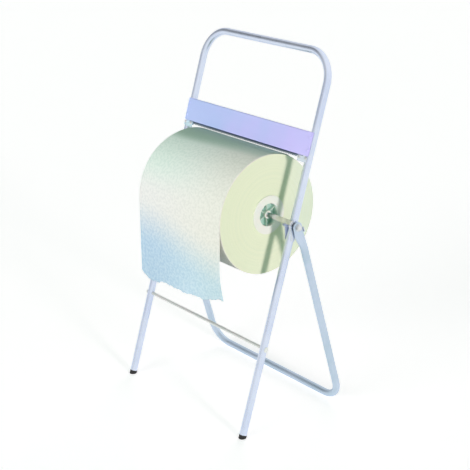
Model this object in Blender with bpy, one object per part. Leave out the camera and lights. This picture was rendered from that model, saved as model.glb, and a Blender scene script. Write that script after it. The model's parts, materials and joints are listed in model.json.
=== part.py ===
"""Folding floor stand for a large paper roll.

An upside-down U tube leans back and is the front frame and the handle. A second U tube
stands on its bottom rail and folds against the first. The roll turns on a loose axle that
lies in two hooks, and a toothed blade under a painted plate tears the paper.

World axes: X across, -Y towards the user, Z up, with the floor at Z = 0.
"""
import math

import bmesh
import bpy
from mathutils import Matrix, Vector

# Shared by all pieces
GAP = 0.0003
OVERRUN = 0.004
HALF_TURN = math.pi
QUARTER_TURN = math.pi / 2
SHARP_ANGLE = math.radians(32)
MERGE = 0.000003
ROUND_SIDES = 18
BORE_SIDES = 12
SMALL_SIDES = 10
DOME_STEPS = 3

# Front frame tube
LEAN = math.radians(16.9)
TUBE_OD = 0.018
TUBE_WALL = 0.0012
TUBE_SIDES = 20
FRONT_SPACING = 0.438
HANDLE_ABOVE_PLATE = 0.178
HANDLE_BEND = 0.070
BEND_STEPS = 8

# Foot caps
CAP_LIP = 0.0002
CAP_HEIGHT = 0.008
CAP_PLUG_LENGTH = 0.014
CAP_EDGE = 0.001

# Crossbar
CROSSBAR_HEIGHT = 0.218
CROSSBAR_OD = 0.008
CROSSBAR_HEAD_OD = 0.013
CROSSBAR_HEAD_RISE = 0.0016

# Rear frame tube
PIVOT_HEIGHT = 0.510
RAIL_REACH = 0.2956
LEG_CLEARANCE = 0.0009
REAR_BEND = 0.055
PRESSED_WIDTH = 0.026
PRESSED_THICKNESS = 0.0036
PRESSED_LENGTH = 0.020
PRESS_RUN = 0.036
PRESS_RUN_STEPS = 4
PRESSED_TIP_STEPS = 5
PRESSED_TIP_SWEEP = math.radians(81)

# Axle and its saddles
AXLE_OD = 0.012
AXLE_CHAMFER = 0.001
AXLE_ABOVE_PIVOT = 0.007
AXLE_TUBE_GAP = 0.0005
AXLE_LIFT_TILT = math.radians(6)
SADDLE_SHEET = 0.002
SADDLE_TOP = 0.0105
SADDLE_DROP = 0.034
SADDLE_HEEL = 0.022
SADDLE_TOE = 0.004
SADDLE_BEND_STEPS = 12
HOOK_LIP = 0.0085
HOOK_LIP_DEPTH = 0.0036
HOOK_NOSE_R = 0.0012
HOOK_NOSE_STEPS = 3
HOOK_THROAT = 0.006
HOOK_ARC_STEPS = 8
STOP_LENGTH = 0.012
STOP_START = 0.006
STOP_REACH = 0.0075
STOP_TAIL = 0.007

# Pivot hardware
PIVOT_BOLT_OD = 0.008
PIVOT_HEAD_OD = 0.015
PIVOT_HEAD_HEIGHT = 0.005
PIVOT_HEAD_EDGE = 0.0015
PIVOT_SPACER_OD = 0.020
PIVOT_SPACER_THICKNESS = 0.0014
PIVOT_WASHER_OD = 0.017
PIVOT_WASHER_THICKNESS = 0.0014
PIVOT_NUT_FLATS = 0.013
PIVOT_NUT_HEIGHT = 0.0045
PIVOT_NUT_DOME = 0.0040
PIVOT_THREAD_PAST_WASHER = 0.0055
BOLT_CHAMFER = 0.0006

# Tear plate
PLATE_SHEET = 0.0015
PLATE_PAST_TUBE_AXIS = 0.0055
PLATE_HEIGHT = 0.055
PLATE_FOLD = 0.009
PLATE_FOLD_BEND = 0.003
PLATE_FOLD_CLEARANCE = 0.004
PLATE_RELIEF = 0.0015
PLATE_CORNER = 0.003
CORNER_STEPS = 4
FOLD_STEPS = 5
PLATE_RIVET_SHARES = (0.24, 0.76)

# Tear blade
BLADE_SHEET = 0.0009
BLADE_CLEARANCE = 0.0021
BLADE_END_CLEARANCE = 0.003
BLADE_TIP_BELOW_PLATE = 0.007
BLADE_RISE = 0.018
TOOTH_PITCH = 0.006
TOOTH_DEPTH = 0.003
TOOTH_BAND = 0.0045
TOOTH_TILT = math.radians(28)
EAR_LENGTH = 0.018
EAR_RELIEF = 0.0015
EAR_EDGE = 0.001

# Studs, nuts and rivets of the blade and plate
STUD_OD = 0.004
STUD_LENGTH = 0.0062
STUD_ABOVE_PLATE_EDGE = 0.009
STUD_COUNT = 5
STUD_FROM_TEETH_END = 0.024
NUT_FLATS = 0.007
NUT_HEIGHT = 0.0032
RIVET_OD = 0.004
RIVET_HEAD_OD = 0.0075
RIVET_HEAD_RISE = 0.0016
RIVET_LENGTH = 0.0045

# Blade brackets
BRACKET_SHEET = 0.0015
BRACKET_FROM_TEETH = 0.0035
BRACKET_HEIGHT = 0.014
BRACKET_BELOW_PLATE = 0.001
BRACKET_RIVET_DROP = 0.0045
BRACKET_STEPS = 8

# Roll, core and bushes
ROLL_WIDTH = 0.297
ROLL_OD = 0.285
ROLL_EDGE = 0.0015
ROLL_SEGMENTS = 72
CORE_BORE = 0.060
CORE_WALL = 0.003
CORE_RECESS = 0.0005
BUSH_FLANGE_OD = 0.092
BUSH_FLANGE = 0.003
BUSH_WALL = 0.0026
BUSH_LENGTH = 0.030
BUSH_TAPER = 0.0005
BUSH_DISC_DEPTH = 0.014
BUSH_DISC = 0.002
BUSH_HUB_WALL = 0.003
BUSH_RIB_COUNT = 6
BUSH_RIB = 0.002
BUSH_RIB_HEIGHT = 0.009
BUSH_RIB_BITE = 0.0012
BUSH_SEGMENTS = 36

# Loose end of the paper
SHEET_GAP = 0.0004
SHEET_THICKNESS = 0.001
SHEET_START = math.radians(27)
SHEET_DROP = 0.196
SHEET_CURL = 0.013
SHEET_CURL_FROM_SHARE = 0.55
SHEET_CURL_LOW_SHARE = 0.5
SHEET_ARC_ROWS = 22
SHEET_DROP_ROWS = 9
SHEET_TORN_DEPTH = 0.018
SHEET_COLUMN_SHARES = (0.0, 0.05, 0.15, 0.25, 0.4, 0.55, 0.7, 0.8, 0.86, 0.93, 1.0)
SHEET_EDGE_SHARES = (-0.45, 0.05, 0.5, 0.05, 0.0, 0.0, 0.0, -0.1, -0.5, -0.8, -0.9)

# Sizes that follow from the ones above
TUBE_R = TUBE_OD / 2
TUBE_BORE_R = TUBE_R - TUBE_WALL
FRONT_X = FRONT_SPACING / 2
CAP_R = TUBE_R + CAP_LIP
CAP_FRONT = CAP_R / math.cos(LEAN)
FOOT_Y = -(RAIL_REACH + TUBE_R - CAP_FRONT) / 2
SADDLE_INNER_R = TUBE_R + GAP
SADDLE_OUTER_R = SADDLE_INNER_R + SADDLE_SHEET
REAR_X = FRONT_X + SADDLE_OUTER_R + LEG_CLEARANCE + TUBE_R
AXLE_R = AXLE_OD / 2
AXLE_HALF_LENGTH = FRONT_X + SADDLE_OUTER_R - GAP
AXLE_AHEAD = TUBE_R + AXLE_TUBE_GAP + AXLE_R
AXLE_HEIGHT = PIVOT_HEIGHT + AXLE_ABOVE_PIVOT
SPACER_X = FRONT_X + SADDLE_OUTER_R + GAP
PRESSED_X = SPACER_X + PIVOT_SPACER_THICKNESS + GAP
WASHER_X = PRESSED_X + PRESSED_THICKNESS + GAP
NUT_X = WASHER_X + PIVOT_WASHER_THICKNESS + GAP
CORE_R = CORE_BORE / 2
CORE_OUTER_R = CORE_R + CORE_WALL
ROLL_R = ROLL_OD / 2
ROLL_X = ROLL_WIDTH / 2
SHEET_INNER_R = ROLL_R + SHEET_GAP
BLADE_TIP = AXLE_HEIGHT + SHEET_INNER_R + SHEET_THICKNESS + BLADE_CLEARANCE
PLATE_BOTTOM = BLADE_TIP + BLADE_TIP_BELOW_PLATE
PLATE_TOP = PLATE_BOTTOM + PLATE_HEIGHT
PLATE_X = FRONT_X + PLATE_PAST_TUBE_AXIS
PLATE_BACK = TUBE_R + GAP
PLATE_FRONT = PLATE_BACK + PLATE_SHEET
STUD_Z = PLATE_BOTTOM + STUD_ABOVE_PLATE_EDGE
FRAME_LENGTH = PLATE_TOP + HANDLE_ABOVE_PLATE
BLADE_FRONT = PLATE_BACK - GAP
BLADE_BACK = BLADE_FRONT - BLADE_SHEET
BLADE_X = FRONT_X - TUBE_R - BLADE_END_CLEARANCE
TEETH_X = BLADE_X - EAR_LENGTH
BRACKET_X = TEETH_X + BRACKET_FROM_TEETH
BRACKET_TOP = PLATE_BOTTOM - BRACKET_BELOW_PLATE
BRACKET_LOW = BRACKET_TOP - BRACKET_HEIGHT
BRACKET_RIVET_Z = BRACKET_TOP - BRACKET_RIVET_DROP
EAR_LOW = BRACKET_RIVET_Z - RIVET_OD / 2 - GAP - EAR_EDGE


def frame_point(height, ahead):
    """World Y and Z of a point up the front tube by height and in front of its axis by ahead."""
    y = FOOT_Y + height * math.sin(LEAN) - ahead * math.cos(LEAN)
    z = height * math.cos(LEAN) + ahead * math.sin(LEAN)
    return y, z


PIVOT_Y, PIVOT_Z = frame_point(PIVOT_HEIGHT, 0)
AXLE_Y, AXLE_Z = frame_point(AXLE_HEIGHT, AXLE_AHEAD)
RAIL_Y = FOOT_Y + RAIL_REACH
REAR_ANGLE = math.atan2(RAIL_Y - PIVOT_Y, PIVOT_Z - TUBE_R)
REAR_LENGTH = math.hypot(RAIL_Y - PIVOT_Y, PIVOT_Z - TUBE_R)


def clear_objects():
    """Remove every object that the file holds."""
    for old in list(bpy.data.objects):
        bpy.data.objects.remove(old, do_unlink=True)


def material(name, colour, roughness, metallic=0.0):
    """A Principled material with one colour, given as linear red, green and blue."""
    made = bpy.data.materials.new(name)
    made.use_nodes = True
    shader = made.node_tree.nodes["Principled BSDF"]
    shader.inputs["Base Color"].default_value = (*colour, 1.0)
    shader.inputs["Roughness"].default_value = roughness
    shader.inputs["Metallic"].default_value = metallic
    return made


def axes(name, location, tilt=0.0):
    """An empty that carries pieces, turned about X by tilt."""
    empty = bpy.data.objects.new(name, None)
    empty.location = location
    empty.rotation_euler = (tilt, 0, 0)
    bpy.context.collection.objects.link(empty)
    return empty


def finished(name, bm, look, parent, location=(0, 0, 0), rotation=(0, 0, 0)):
    """Turn a bmesh into a smooth-shaded object under its parent."""
    bmesh.ops.recalc_face_normals(bm, faces=bm.faces)
    mesh = bpy.data.meshes.new(name)
    bm.to_mesh(mesh)
    bm.free()
    mesh.shade_smooth()
    mesh.set_sharp_from_angle(angle=SHARP_ANGLE)
    made = bpy.data.objects.new(name, mesh)
    if look:
        mesh.materials.append(look)
    bpy.context.collection.objects.link(made)
    made.parent = parent
    made.location = location
    made.rotation_euler = rotation
    return made


def helper(name, bm, parent, location=(0, 0, 0), rotation=(0, 0, 0)):
    """A cutter or a shape to join, which isn't a piece of the stand."""
    made = finished(name, bm, None, parent, location, rotation)
    made.hide_render = True
    made.display_type = "WIRE"
    return made


def combine(target, other, operation):
    """Cut, join or intersect the target with another object."""
    step = target.modifiers.new(operation.lower(), "BOOLEAN")
    step.operation = operation
    step.solver = "EXACT"
    step.object = other


def turned(profile, segments, closed=False):
    """A solid turned about Z from (radius, height) points; closed makes a ring section."""
    bm = bmesh.new()
    verts = [bm.verts.new((radius, 0, height)) for radius, height in profile]
    edges = [bm.edges.new(pair) for pair in zip(verts, verts[1:])]
    if closed:
        edges.append(bm.edges.new((verts[-1], verts[0])))
    bmesh.ops.spin(
        bm, geom=verts + edges, cent=(0, 0, 0), axis=(0, 0, 1),
        angle=2 * HALF_TURN, steps=segments, use_merge=True,
    )
    bmesh.ops.remove_doubles(bm, verts=bm.verts, dist=MERGE)
    return bm


def ring(inner_r, outer_r, height, segments=ROUND_SIDES):
    """A plain ring about Z that stands on its origin."""
    return turned([(inner_r, 0), (outer_r, 0), (outer_r, height), (inner_r, height)], segments, closed=True)


def prism(outline, depth):
    """A flat outline, given as 3-D points, pushed along the vector depth."""
    bm = bmesh.new()
    face = bm.faces.new([bm.verts.new(point) for point in outline])
    pushed = bmesh.ops.extrude_face_region(bm, geom=[face])["geom"]
    verts = [item for item in pushed if isinstance(item, bmesh.types.BMVert)]
    bmesh.ops.translate(bm, verts=verts, vec=depth)
    return bm


def arc(centre, radius, start, end, steps):
    """Points of a flat arc, ends included."""
    turns = [start + (end - start) * step / steps for step in range(steps + 1)]
    return [(centre[0] + radius * math.cos(t), centre[1] + radius * math.sin(t)) for t in turns]


def add_cylinder(bm, radius, length, segments, matrix):
    """A closed cylinder along the matrix's Z, centred on its origin."""
    bmesh.ops.create_cone(
        bm, cap_ends=True, segments=segments, radius1=radius, radius2=radius,
        depth=length, matrix=matrix,
    )


def along_x(x, y, z):
    """A matrix at a place, with its Z along world or parent X."""
    return Matrix.Translation((x, y, z)) @ Matrix.Rotation(QUARTER_TURN, 4, "Y")


def along_y(x, y, z):
    """A matrix at a place, with its Z pointing to the front."""
    return Matrix.Translation((x, y, z)) @ Matrix.Rotation(QUARTER_TURN, 4, "X")


def section(half_width, half_thickness):
    """Cross-section of a tube, round or pressed flat, as points across and along Y."""
    flat = max(half_width - half_thickness, 0)
    round_y = min(half_width, half_thickness)
    points = []
    for index in range(TUBE_SIDES):
        turn = 2 * HALF_TURN * index / TUBE_SIDES
        wide = math.sin(turn)
        shift = math.copysign(flat, wide) if index % (TUBE_SIDES // 2) else 0
        points.append((half_thickness * math.cos(turn), shift + round_y * wide))
    return points


def tube_ring(x, z, heading, half_width, half_thickness):
    """A ring of points square to a path that runs in the X-Z plane."""
    across_x = -math.sin(heading)
    across_z = math.cos(heading)
    return [
        (x + across * across_x, y, z + across * across_z)
        for across, y in section(half_width, half_thickness)
    ]


def u_path(half_width, end_z, far_z, bend):
    """Centre and heading of each ring of a U tube, from its left end to its right end."""
    way = 1 if far_z > end_z else -1
    path = [(-half_width, end_z, way * QUARTER_TURN)]
    for side, first, last in ((-1, way, 0), (1, 0, -way)):
        centre_x = side * (half_width - bend)
        centre_z = far_z - way * bend
        for step in range(BEND_STEPS + 1):
            heading = QUARTER_TURN * (first + (last - first) * step / BEND_STEPS)
            x = centre_x - way * bend * math.sin(heading)
            z = centre_z + way * bend * math.cos(heading)
            path.append((x, z, heading))
    return path + [(half_width, end_z, -way * QUARTER_TURN)]


def loft(rings, closed=False):
    """Skin a run of like rings, with its ends filled or, if closed, joined to each other."""
    bm = bmesh.new()
    loops = [[bm.verts.new(point) for point in points] for points in rings]
    pairs = list(zip(loops, loops[1:]))
    if closed:
        pairs.append((loops[-1], loops[0]))
    for one, two in pairs:
        for index in range(len(one)):
            after = (index + 1) % len(one)
            bm.faces.new((one[index], one[after], two[after], two[index]))
    if not closed:
        bm.faces.new(loops[0])
        bm.faces.new(loops[-1])
    return bm


def rivet_places():
    """X and height of the plate's rivets, then of the brackets' rivets."""
    plate = [
        (side * FRONT_X, PLATE_BOTTOM + share * PLATE_HEIGHT)
        for side in (-1, 1) for share in PLATE_RIVET_SHARES
    ]
    bracket = [
        (side * x, BRACKET_RIVET_Z)
        for side in (-1, 1) for x in (BLADE_X - EAR_LENGTH / 2, FRONT_X)
    ]
    return plate, bracket


def stud_places():
    """X of each stud on the back of the plate."""
    end = TEETH_X - STUD_FROM_TEETH_END
    return [end * (2 * index / (STUD_COUNT - 1) - 1) for index in range(STUD_COUNT)]


def front_frame_tube(look, frame):
    """The bent front tube, open at its feet, with its cross holes."""
    path = u_path(FRONT_X, CAP_HEIGHT + GAP, FRAME_LENGTH, HANDLE_BEND)
    outer = [tube_ring(*place, TUBE_R, TUBE_R) for place in path]
    inner = [tube_ring(*place, TUBE_BORE_R, TUBE_BORE_R) for place in reversed(path)]
    tube = finished("front_frame_tube", loft(outer + inner, closed=True), look, frame)
    combine(tube, tube_holes(frame), "DIFFERENCE")


def tube_holes(frame):
    """Cutters for the crossbar, the pivot bolts and the rivets."""
    bm = bmesh.new()
    reach = TUBE_OD + 2 * OVERRUN
    for side in (-1, 1):
        crossbar_place = along_x(side * FRONT_X, 0, CROSSBAR_HEIGHT)
        add_cylinder(bm, CROSSBAR_OD / 2 + GAP, reach, BORE_SIDES, crossbar_place)
        bolt_place = along_x(side * FRONT_X, 0, PIVOT_HEIGHT)
        add_cylinder(bm, PIVOT_BOLT_OD / 2 + GAP, reach, BORE_SIDES, bolt_place)
    plate, bracket = rivet_places()
    for x, z in plate + [place for place in bracket if abs(place[0]) > FRONT_X - TUBE_R]:
        add_cylinder(bm, RIVET_OD / 2 + GAP, TUBE_OD, SMALL_SIDES, along_y(x, -TUBE_R, z))
    return helper("front_tube_holes", bm, frame)


def foot_cap(name, side, look, frame):
    """A plug in the tube's end, cut level so that it stands flat on the floor."""
    low = -2 * CAP_R * math.tan(LEAN)
    plug_r = TUBE_BORE_R - GAP
    top = CAP_HEIGHT + CAP_PLUG_LENGTH
    profile = [
        (0, low), (CAP_R, low), (CAP_R, CAP_HEIGHT - CAP_EDGE), (CAP_R - CAP_EDGE / 2, CAP_HEIGHT),
        (plug_r, CAP_HEIGHT), (plug_r, top - CAP_EDGE), (plug_r - CAP_EDGE, top), (0, top),
    ]
    bm = turned(profile, TUBE_SIDES)
    cut = bmesh.ops.bisect_plane(
        bm, geom=bm.verts[:] + bm.edges[:] + bm.faces[:], plane_co=(0, 0, 0),
        plane_no=(0, -math.sin(LEAN), math.cos(LEAN)), clear_inner=True,
    )["geom_cut"]
    bmesh.ops.edgeloop_fill(bm, edges=[item for item in cut if isinstance(item, bmesh.types.BMEdge)])
    finished(name, bm, look, frame, (side * FRONT_X, 0, 0))


def domed_head(radius, seat, rise):
    """Half the profile of a low round head, from its seat's rim to its crown."""
    turns = [QUARTER_TURN * step / DOME_STEPS for step in range(DOME_STEPS)]
    return [(radius * math.cos(t), seat + rise * math.sin(t)) for t in turns] + [(0, seat + rise)]


def crossbar(look, frame):
    """The rod between the front legs, with a low peened head outside each tube."""
    head = FRONT_X + TUBE_R + GAP
    upper = [(CROSSBAR_OD / 2, head)] + domed_head(CROSSBAR_HEAD_OD / 2, head, CROSSBAR_HEAD_RISE)
    lower = [(radius, -height) for radius, height in reversed(upper)]
    place = (0, 0, CROSSBAR_HEIGHT)
    finished("crossbar_rod", turned(lower + upper, ROUND_SIDES), look, frame, place, (0, QUARTER_TURN, 0))


def pressed_rings(side):
    """The rings of a leg's end, from the round tube up to its flat, rounded tip."""
    half = PRESSED_WIDTH / 2
    stations = []
    for step in range(1, PRESS_RUN_STEPS + 1):
        part = step / PRESS_RUN_STEPS
        ease = part * part * (3 - 2 * part)
        stations.append((-PRESSED_LENGTH - PRESS_RUN * (1 - part), ease, half))
    for step in range(PRESSED_TIP_STEPS + 1):
        turn = PRESSED_TIP_SWEEP * step / PRESSED_TIP_STEPS
        stations.append((half * math.sin(turn), 1.0, half * math.cos(turn)))
    rings = []
    for height, share, half_width in stations:
        width = TUBE_R + (half_width - TUBE_R) * share
        thick = TUBE_R + (PRESSED_THICKNESS / 2 - TUBE_R) * share
        x = side * (REAR_X + (PRESSED_X + PRESSED_THICKNESS / 2 - REAR_X) * share)
        rings.append(tube_ring(x, height, side * QUARTER_TURN, width, thick))
    return rings


def rear_frame_tube(look, hinge):
    """The folding U tube: a floor rail, two legs and their pressed ends with bolt holes."""
    path = u_path(REAR_X, -PRESSED_LENGTH - PRESS_RUN, -REAR_LENGTH, REAR_BEND)
    rings = pressed_rings(-1)[::-1]
    rings += [tube_ring(*place, TUBE_R, TUBE_R) for place in path]
    rings += pressed_rings(1)
    tube = finished("rear_frame_tube", loft(rings), look, hinge)
    holes = bmesh.new()
    for side in (-1, 1):
        place = along_x(side * (PRESSED_X + PRESSED_THICKNESS / 2), 0, 0)
        add_cylinder(holes, PIVOT_BOLT_OD / 2 + GAP, PRESSED_THICKNESS + OVERRUN, BORE_SIDES, place)
    combine(tube, helper("rear_tube_holes", holes, hinge), "DIFFERENCE")


def saddle_plan(side):
    """Plan of the saddle's sheet round its tube, open to the front."""
    front = -(AXLE_AHEAD + AXLE_R + HOOK_LIP + OVERRUN)
    plan = [(SADDLE_OUTER_R, front)]
    plan += arc((0, 0), SADDLE_OUTER_R, 0, HALF_TURN, SADDLE_BEND_STEPS)
    plan += [(-SADDLE_OUTER_R, front), (-SADDLE_INNER_R, front)]
    plan += arc((0, 0), SADDLE_INNER_R, HALF_TURN, 0, SADDLE_BEND_STEPS)
    plan += [(SADDLE_INNER_R, front)]
    return [(side * FRONT_X + x, y) for x, y in plan]


def saddle_side():
    """Side view of the saddle: distance ahead of the tube's axis and height up the tube."""
    floor_turn = AXLE_LIFT_TILT - QUARTER_TURN
    seat = arc((AXLE_AHEAD, AXLE_HEIGHT), AXLE_R + GAP, -HALF_TURN, floor_turn, HOOK_ARC_STEPS)
    tip = (
        seat[-1][0] + HOOK_LIP * math.cos(AXLE_LIFT_TILT),
        seat[-1][1] + HOOK_LIP * math.sin(AXLE_LIFT_TILT),
    )
    back = -SADDLE_OUTER_R - OVERRUN
    top = PIVOT_HEIGHT + SADDLE_TOP
    bottom = PIVOT_HEIGHT - SADDLE_DROP
    nose = arc((tip[0] - HOOK_NOSE_R, tip[1] - HOOK_NOSE_R), HOOK_NOSE_R, QUARTER_TURN, 0, HOOK_NOSE_STEPS)
    under = [
        (tip[0] - HOOK_NOSE_R, tip[1] - HOOK_LIP_DEPTH),
        (AXLE_AHEAD, AXLE_HEIGHT - AXLE_R - HOOK_THROAT),
        (TUBE_R, PIVOT_HEIGHT - SADDLE_HEEL),
        (TUBE_R - SADDLE_TOE, bottom),
    ]
    return seat + nose + under + [(back, bottom), (back, top), (seat[0][0], top)]


def stop_lug(side, frame):
    """A tail of the outer cheek, with a lug bent out behind the open rear leg."""
    spread = LEAN + REAR_ANGLE
    down = Vector((0, math.sin(spread), -math.cos(spread)))
    back = Vector((0, math.cos(spread), math.sin(spread)))
    bearing = PRESSED_WIDTH / 2 + GAP
    reach = SADDLE_OUTER_R + STOP_REACH
    plan = [
        (SADDLE_INNER_R, -STOP_TAIL), (SADDLE_OUTER_R, -STOP_TAIL), (SADDLE_OUTER_R, bearing),
        (reach, bearing), (reach, bearing + SADDLE_SHEET), (SADDLE_INNER_R, bearing + SADDLE_SHEET),
    ]
    start = Vector((side * FRONT_X, 0, PIVOT_HEIGHT)) + down * STOP_START
    outline = [start + back * away + Vector((side * across, 0, 0)) for across, away in plan]
    return helper("saddle_stop", prism(outline, down * STOP_LENGTH), frame)


def axle_saddle(name, side, look, frame):
    """A sheet bent round the tube, with two hooked cheeks for the axle and a stop lug."""
    low = PIVOT_HEIGHT - SADDLE_DROP - OVERRUN
    high = AXLE_HEIGHT + AXLE_OD
    wall = prism([(x, y, low) for x, y in saddle_plan(side)], Vector((0, 0, high - low)))
    saddle = finished(name, wall, look, frame)
    span = 2 * (SADDLE_OUTER_R + OVERRUN)
    left = side * FRONT_X - span / 2
    shape = prism([(left, -ahead, z) for ahead, z in saddle_side()], Vector((span, 0, 0)))
    combine(saddle, helper(name + "_side", shape, frame), "INTERSECT")
    combine(saddle, stop_lug(side, frame), "UNION")
    hole = bmesh.new()
    bolt_place = along_x(side * FRONT_X, 0, PIVOT_HEIGHT)
    add_cylinder(hole, PIVOT_BOLT_OD / 2 + GAP, span, BORE_SIDES, bolt_place)
    combine(saddle, helper(name + "_hole", hole, frame), "DIFFERENCE")


def pivot_bolt(name, side, look, frame):
    """A round-headed bolt from inside the saddle out through the rear leg."""
    seat_x = FRONT_X - SADDLE_OUTER_R - GAP
    length = NUT_X + PIVOT_THREAD_PAST_WASHER - seat_x
    shank_r = PIVOT_BOLT_OD / 2
    rise = PIVOT_HEAD_HEIGHT - PIVOT_HEAD_EDGE
    head = [(r, -z) for r, z in domed_head(PIVOT_HEAD_OD / 2, PIVOT_HEAD_EDGE, rise)]
    profile = head[::-1] + [
        (PIVOT_HEAD_OD / 2, 0), (shank_r, 0), (shank_r, length - BOLT_CHAMFER),
        (shank_r - BOLT_CHAMFER, length), (0, length),
    ]
    place = (side * seat_x, 0, PIVOT_HEIGHT)
    finished(name, turned(profile, ROUND_SIDES), look, frame, place, (0, side * QUARTER_TURN, 0))


def pivot_ring(name, side, look, frame, start_x, outer_od, thickness):
    """A spacer or washer on the pivot bolt."""
    bm = ring(PIVOT_BOLT_OD / 2 + GAP, outer_od / 2, thickness)
    place = (side * start_x, 0, PIVOT_HEIGHT)
    finished(name, bm, look, frame, place, (0, side * QUARTER_TURN, 0))


def pivot_nut(name, side, look, frame):
    """A domed hexagon nut over the bolt's end."""
    place = (side * NUT_X, 0, PIVOT_HEIGHT)
    turn = (0, side * QUARTER_TURN, 0)
    nut = finished(name, hex_block(PIVOT_NUT_FLATS, PIVOT_NUT_HEIGHT), look, frame, place, turn)
    dome_r = PIVOT_NUT_FLATS / 2 - BOLT_CHAMFER
    crown = [(0, BOLT_CHAMFER), (dome_r, BOLT_CHAMFER)]
    crown += domed_head(dome_r, PIVOT_NUT_HEIGHT, PIVOT_NUT_DOME)
    combine(nut, helper(name + "_dome", turned(crown, ROUND_SIDES), frame, place, turn), "UNION")
    bore = bmesh.new()
    depth = PIVOT_THREAD_PAST_WASHER + GAP
    centre = Matrix.Translation((0, 0, (depth - OVERRUN) / 2))
    add_cylinder(bore, PIVOT_BOLT_OD / 2 + GAP, depth + OVERRUN, BORE_SIDES, centre)
    combine(nut, helper(name + "_bore", bore, frame, place, turn), "DIFFERENCE")


def hex_block(flats, height):
    """A hexagon prism that stands on its origin."""
    bm = bmesh.new()
    corner_r = flats / 2 / math.cos(HALF_TURN / 6)
    add_cylinder(bm, corner_r, height, 6, Matrix.Translation((0, 0, height / 2)))
    return bm


def plate_outline():
    """Front view of the plate's flat sheet, with a relief slot at each end of the fold."""
    fold_x = FRONT_X - TUBE_R - PLATE_FOLD_CLEARANCE
    relief_x = fold_x + PLATE_RELIEF
    shoulder = PLATE_TOP - PLATE_FOLD_BEND
    low = PLATE_BOTTOM + PLATE_CORNER
    corner_x = PLATE_X - PLATE_CORNER
    right = arc((corner_x, low), PLATE_CORNER, -QUARTER_TURN, 0, CORNER_STEPS)
    right += [(PLATE_X, PLATE_TOP), (relief_x, PLATE_TOP), (relief_x, shoulder), (fold_x, shoulder)]
    return right + [(-x, z) for x, z in reversed(right)]


def carry_face(bm, face, matrix):
    """Extrude one face of a solid and move its new end by a matrix."""
    made = bmesh.ops.extrude_face_region(bm, geom=[face])["geom"]
    bmesh.ops.delete(bm, geom=[face], context="FACES_ONLY")
    verts = [item for item in made if isinstance(item, bmesh.types.BMVert)]
    bmesh.ops.transform(bm, matrix=matrix, verts=verts)
    return next(item for item in made if isinstance(item, bmesh.types.BMFace))


def fold_back(bm):
    """Fold the plate's top edge back over the gap between the tubes."""
    shoulder = PLATE_TOP - PLATE_FOLD_BEND
    centre_y = PLATE_FOLD_BEND - PLATE_FRONT
    bm.faces.ensure_lookup_table()
    face = next(
        item for item in bm.faces
        if abs(item.calc_center_median().z - shoulder) < GAP and abs(item.calc_center_median().x) < GAP
    )
    hub = Matrix.Translation((0, centre_y, shoulder))
    step = hub @ Matrix.Rotation(-QUARTER_TURN / FOLD_STEPS, 4, "X") @ hub.inverted()
    for _ in range(FOLD_STEPS):
        face = carry_face(bm, face, step)
    carry_face(bm, face, Matrix.Translation((0, PLATE_FOLD - PLATE_FOLD_BEND, 0)))


def tear_plate(look, frame):
    """The painted sheet on the front of the tubes, its top edge folded back, studs behind it."""
    sheet = prism([(x, -PLATE_BACK, z) for x, z in plate_outline()], Vector((0, -PLATE_SHEET, 0)))
    bmesh.ops.recalc_face_normals(sheet, faces=sheet.faces)
    fold_back(sheet)
    plate = finished("tear_plate", sheet, look, frame)
    studs = bmesh.new()
    reach = STUD_LENGTH + PLATE_SHEET / 2
    for x in stud_places():
        y = -PLATE_BACK - PLATE_SHEET / 2 + reach / 2
        add_cylinder(studs, STUD_OD / 2, reach, SMALL_SIDES, along_y(x, y, STUD_Z))
    combine(plate, helper("tear_plate_studs", studs, frame), "UNION")
    combine(plate, sheet_holes("tear_plate_holes", rivet_places()[0], RIVET_OD, frame), "DIFFERENCE")


def sheet_holes(name, places, diameter, frame):
    """Cutters through the sheets on the front of the frame."""
    bm = bmesh.new()
    for x, z in places:
        add_cylinder(bm, diameter / 2 + GAP, TUBE_R, SMALL_SIDES, along_y(x, -PLATE_BACK, z))
    return helper(name, bm, frame)


def tear_blade(look, frame):
    """The toothed strip: flat behind the plate, its toothed band tilted out, an ear at each end."""
    fold_z = BLADE_TIP + TOOTH_BAND * math.cos(TOOTH_TILT)
    top_z = PLATE_BOTTOM + BLADE_RISE
    count = 2 * round(2 * TEETH_X / TOOTH_PITCH)
    columns = [(-BLADE_X, None), (-TEETH_X - EAR_RELIEF, None)]
    for index in range(count + 1):
        reach = TOOTH_BAND if index % 2 else TOOTH_BAND - TOOTH_DEPTH
        columns.append((TEETH_X * (2 * index / count - 1), reach))
    columns += [(TEETH_X + EAR_RELIEF, None), (BLADE_X, None)]
    bm = bmesh.new()
    rows = []
    for x, reach in columns:
        low = (x, -BLADE_FRONT, EAR_LOW)
        if reach:
            low = (x, -BLADE_FRONT - reach * math.sin(TOOTH_TILT), fold_z - reach * math.cos(TOOTH_TILT))
        points = (x, -BLADE_FRONT, top_z), (x, -BLADE_FRONT, fold_z), low
        rows.append([bm.verts.new(point) for point in points])
    for one, two in zip(rows, rows[1:]):
        bm.faces.new((one[0], one[1], two[1], two[0]))
    for one, two in [rows[:2], rows[-2:]] + list(zip(rows[2:-2], rows[3:-2])):
        bm.faces.new((one[1], one[2], two[2], two[1]))
    blade = finished("tear_blade", bm, look, frame)
    thicken(blade, BLADE_SHEET, towards=Vector((0, 1, 0)))
    studs = [(x, STUD_Z) for x in stud_places()]
    combine(blade, sheet_holes("tear_blade_stud_holes", studs, STUD_OD, frame), "DIFFERENCE")
    ears = [place for place in rivet_places()[1] if abs(place[0]) < FRONT_X - TUBE_R]
    combine(blade, sheet_holes("tear_blade_ear_holes", ears, RIVET_OD, frame), "DIFFERENCE")


def thicken(target, thickness, towards):
    """Give an open sheet its thickness on the side that a direction points to."""
    facing = target.data.polygons[0].normal.dot(towards)
    step = target.modifiers.new("sheet", "SOLIDIFY")
    step.thickness = thickness
    step.offset = math.copysign(1, facing)
    step.use_even_offset = True


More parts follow.
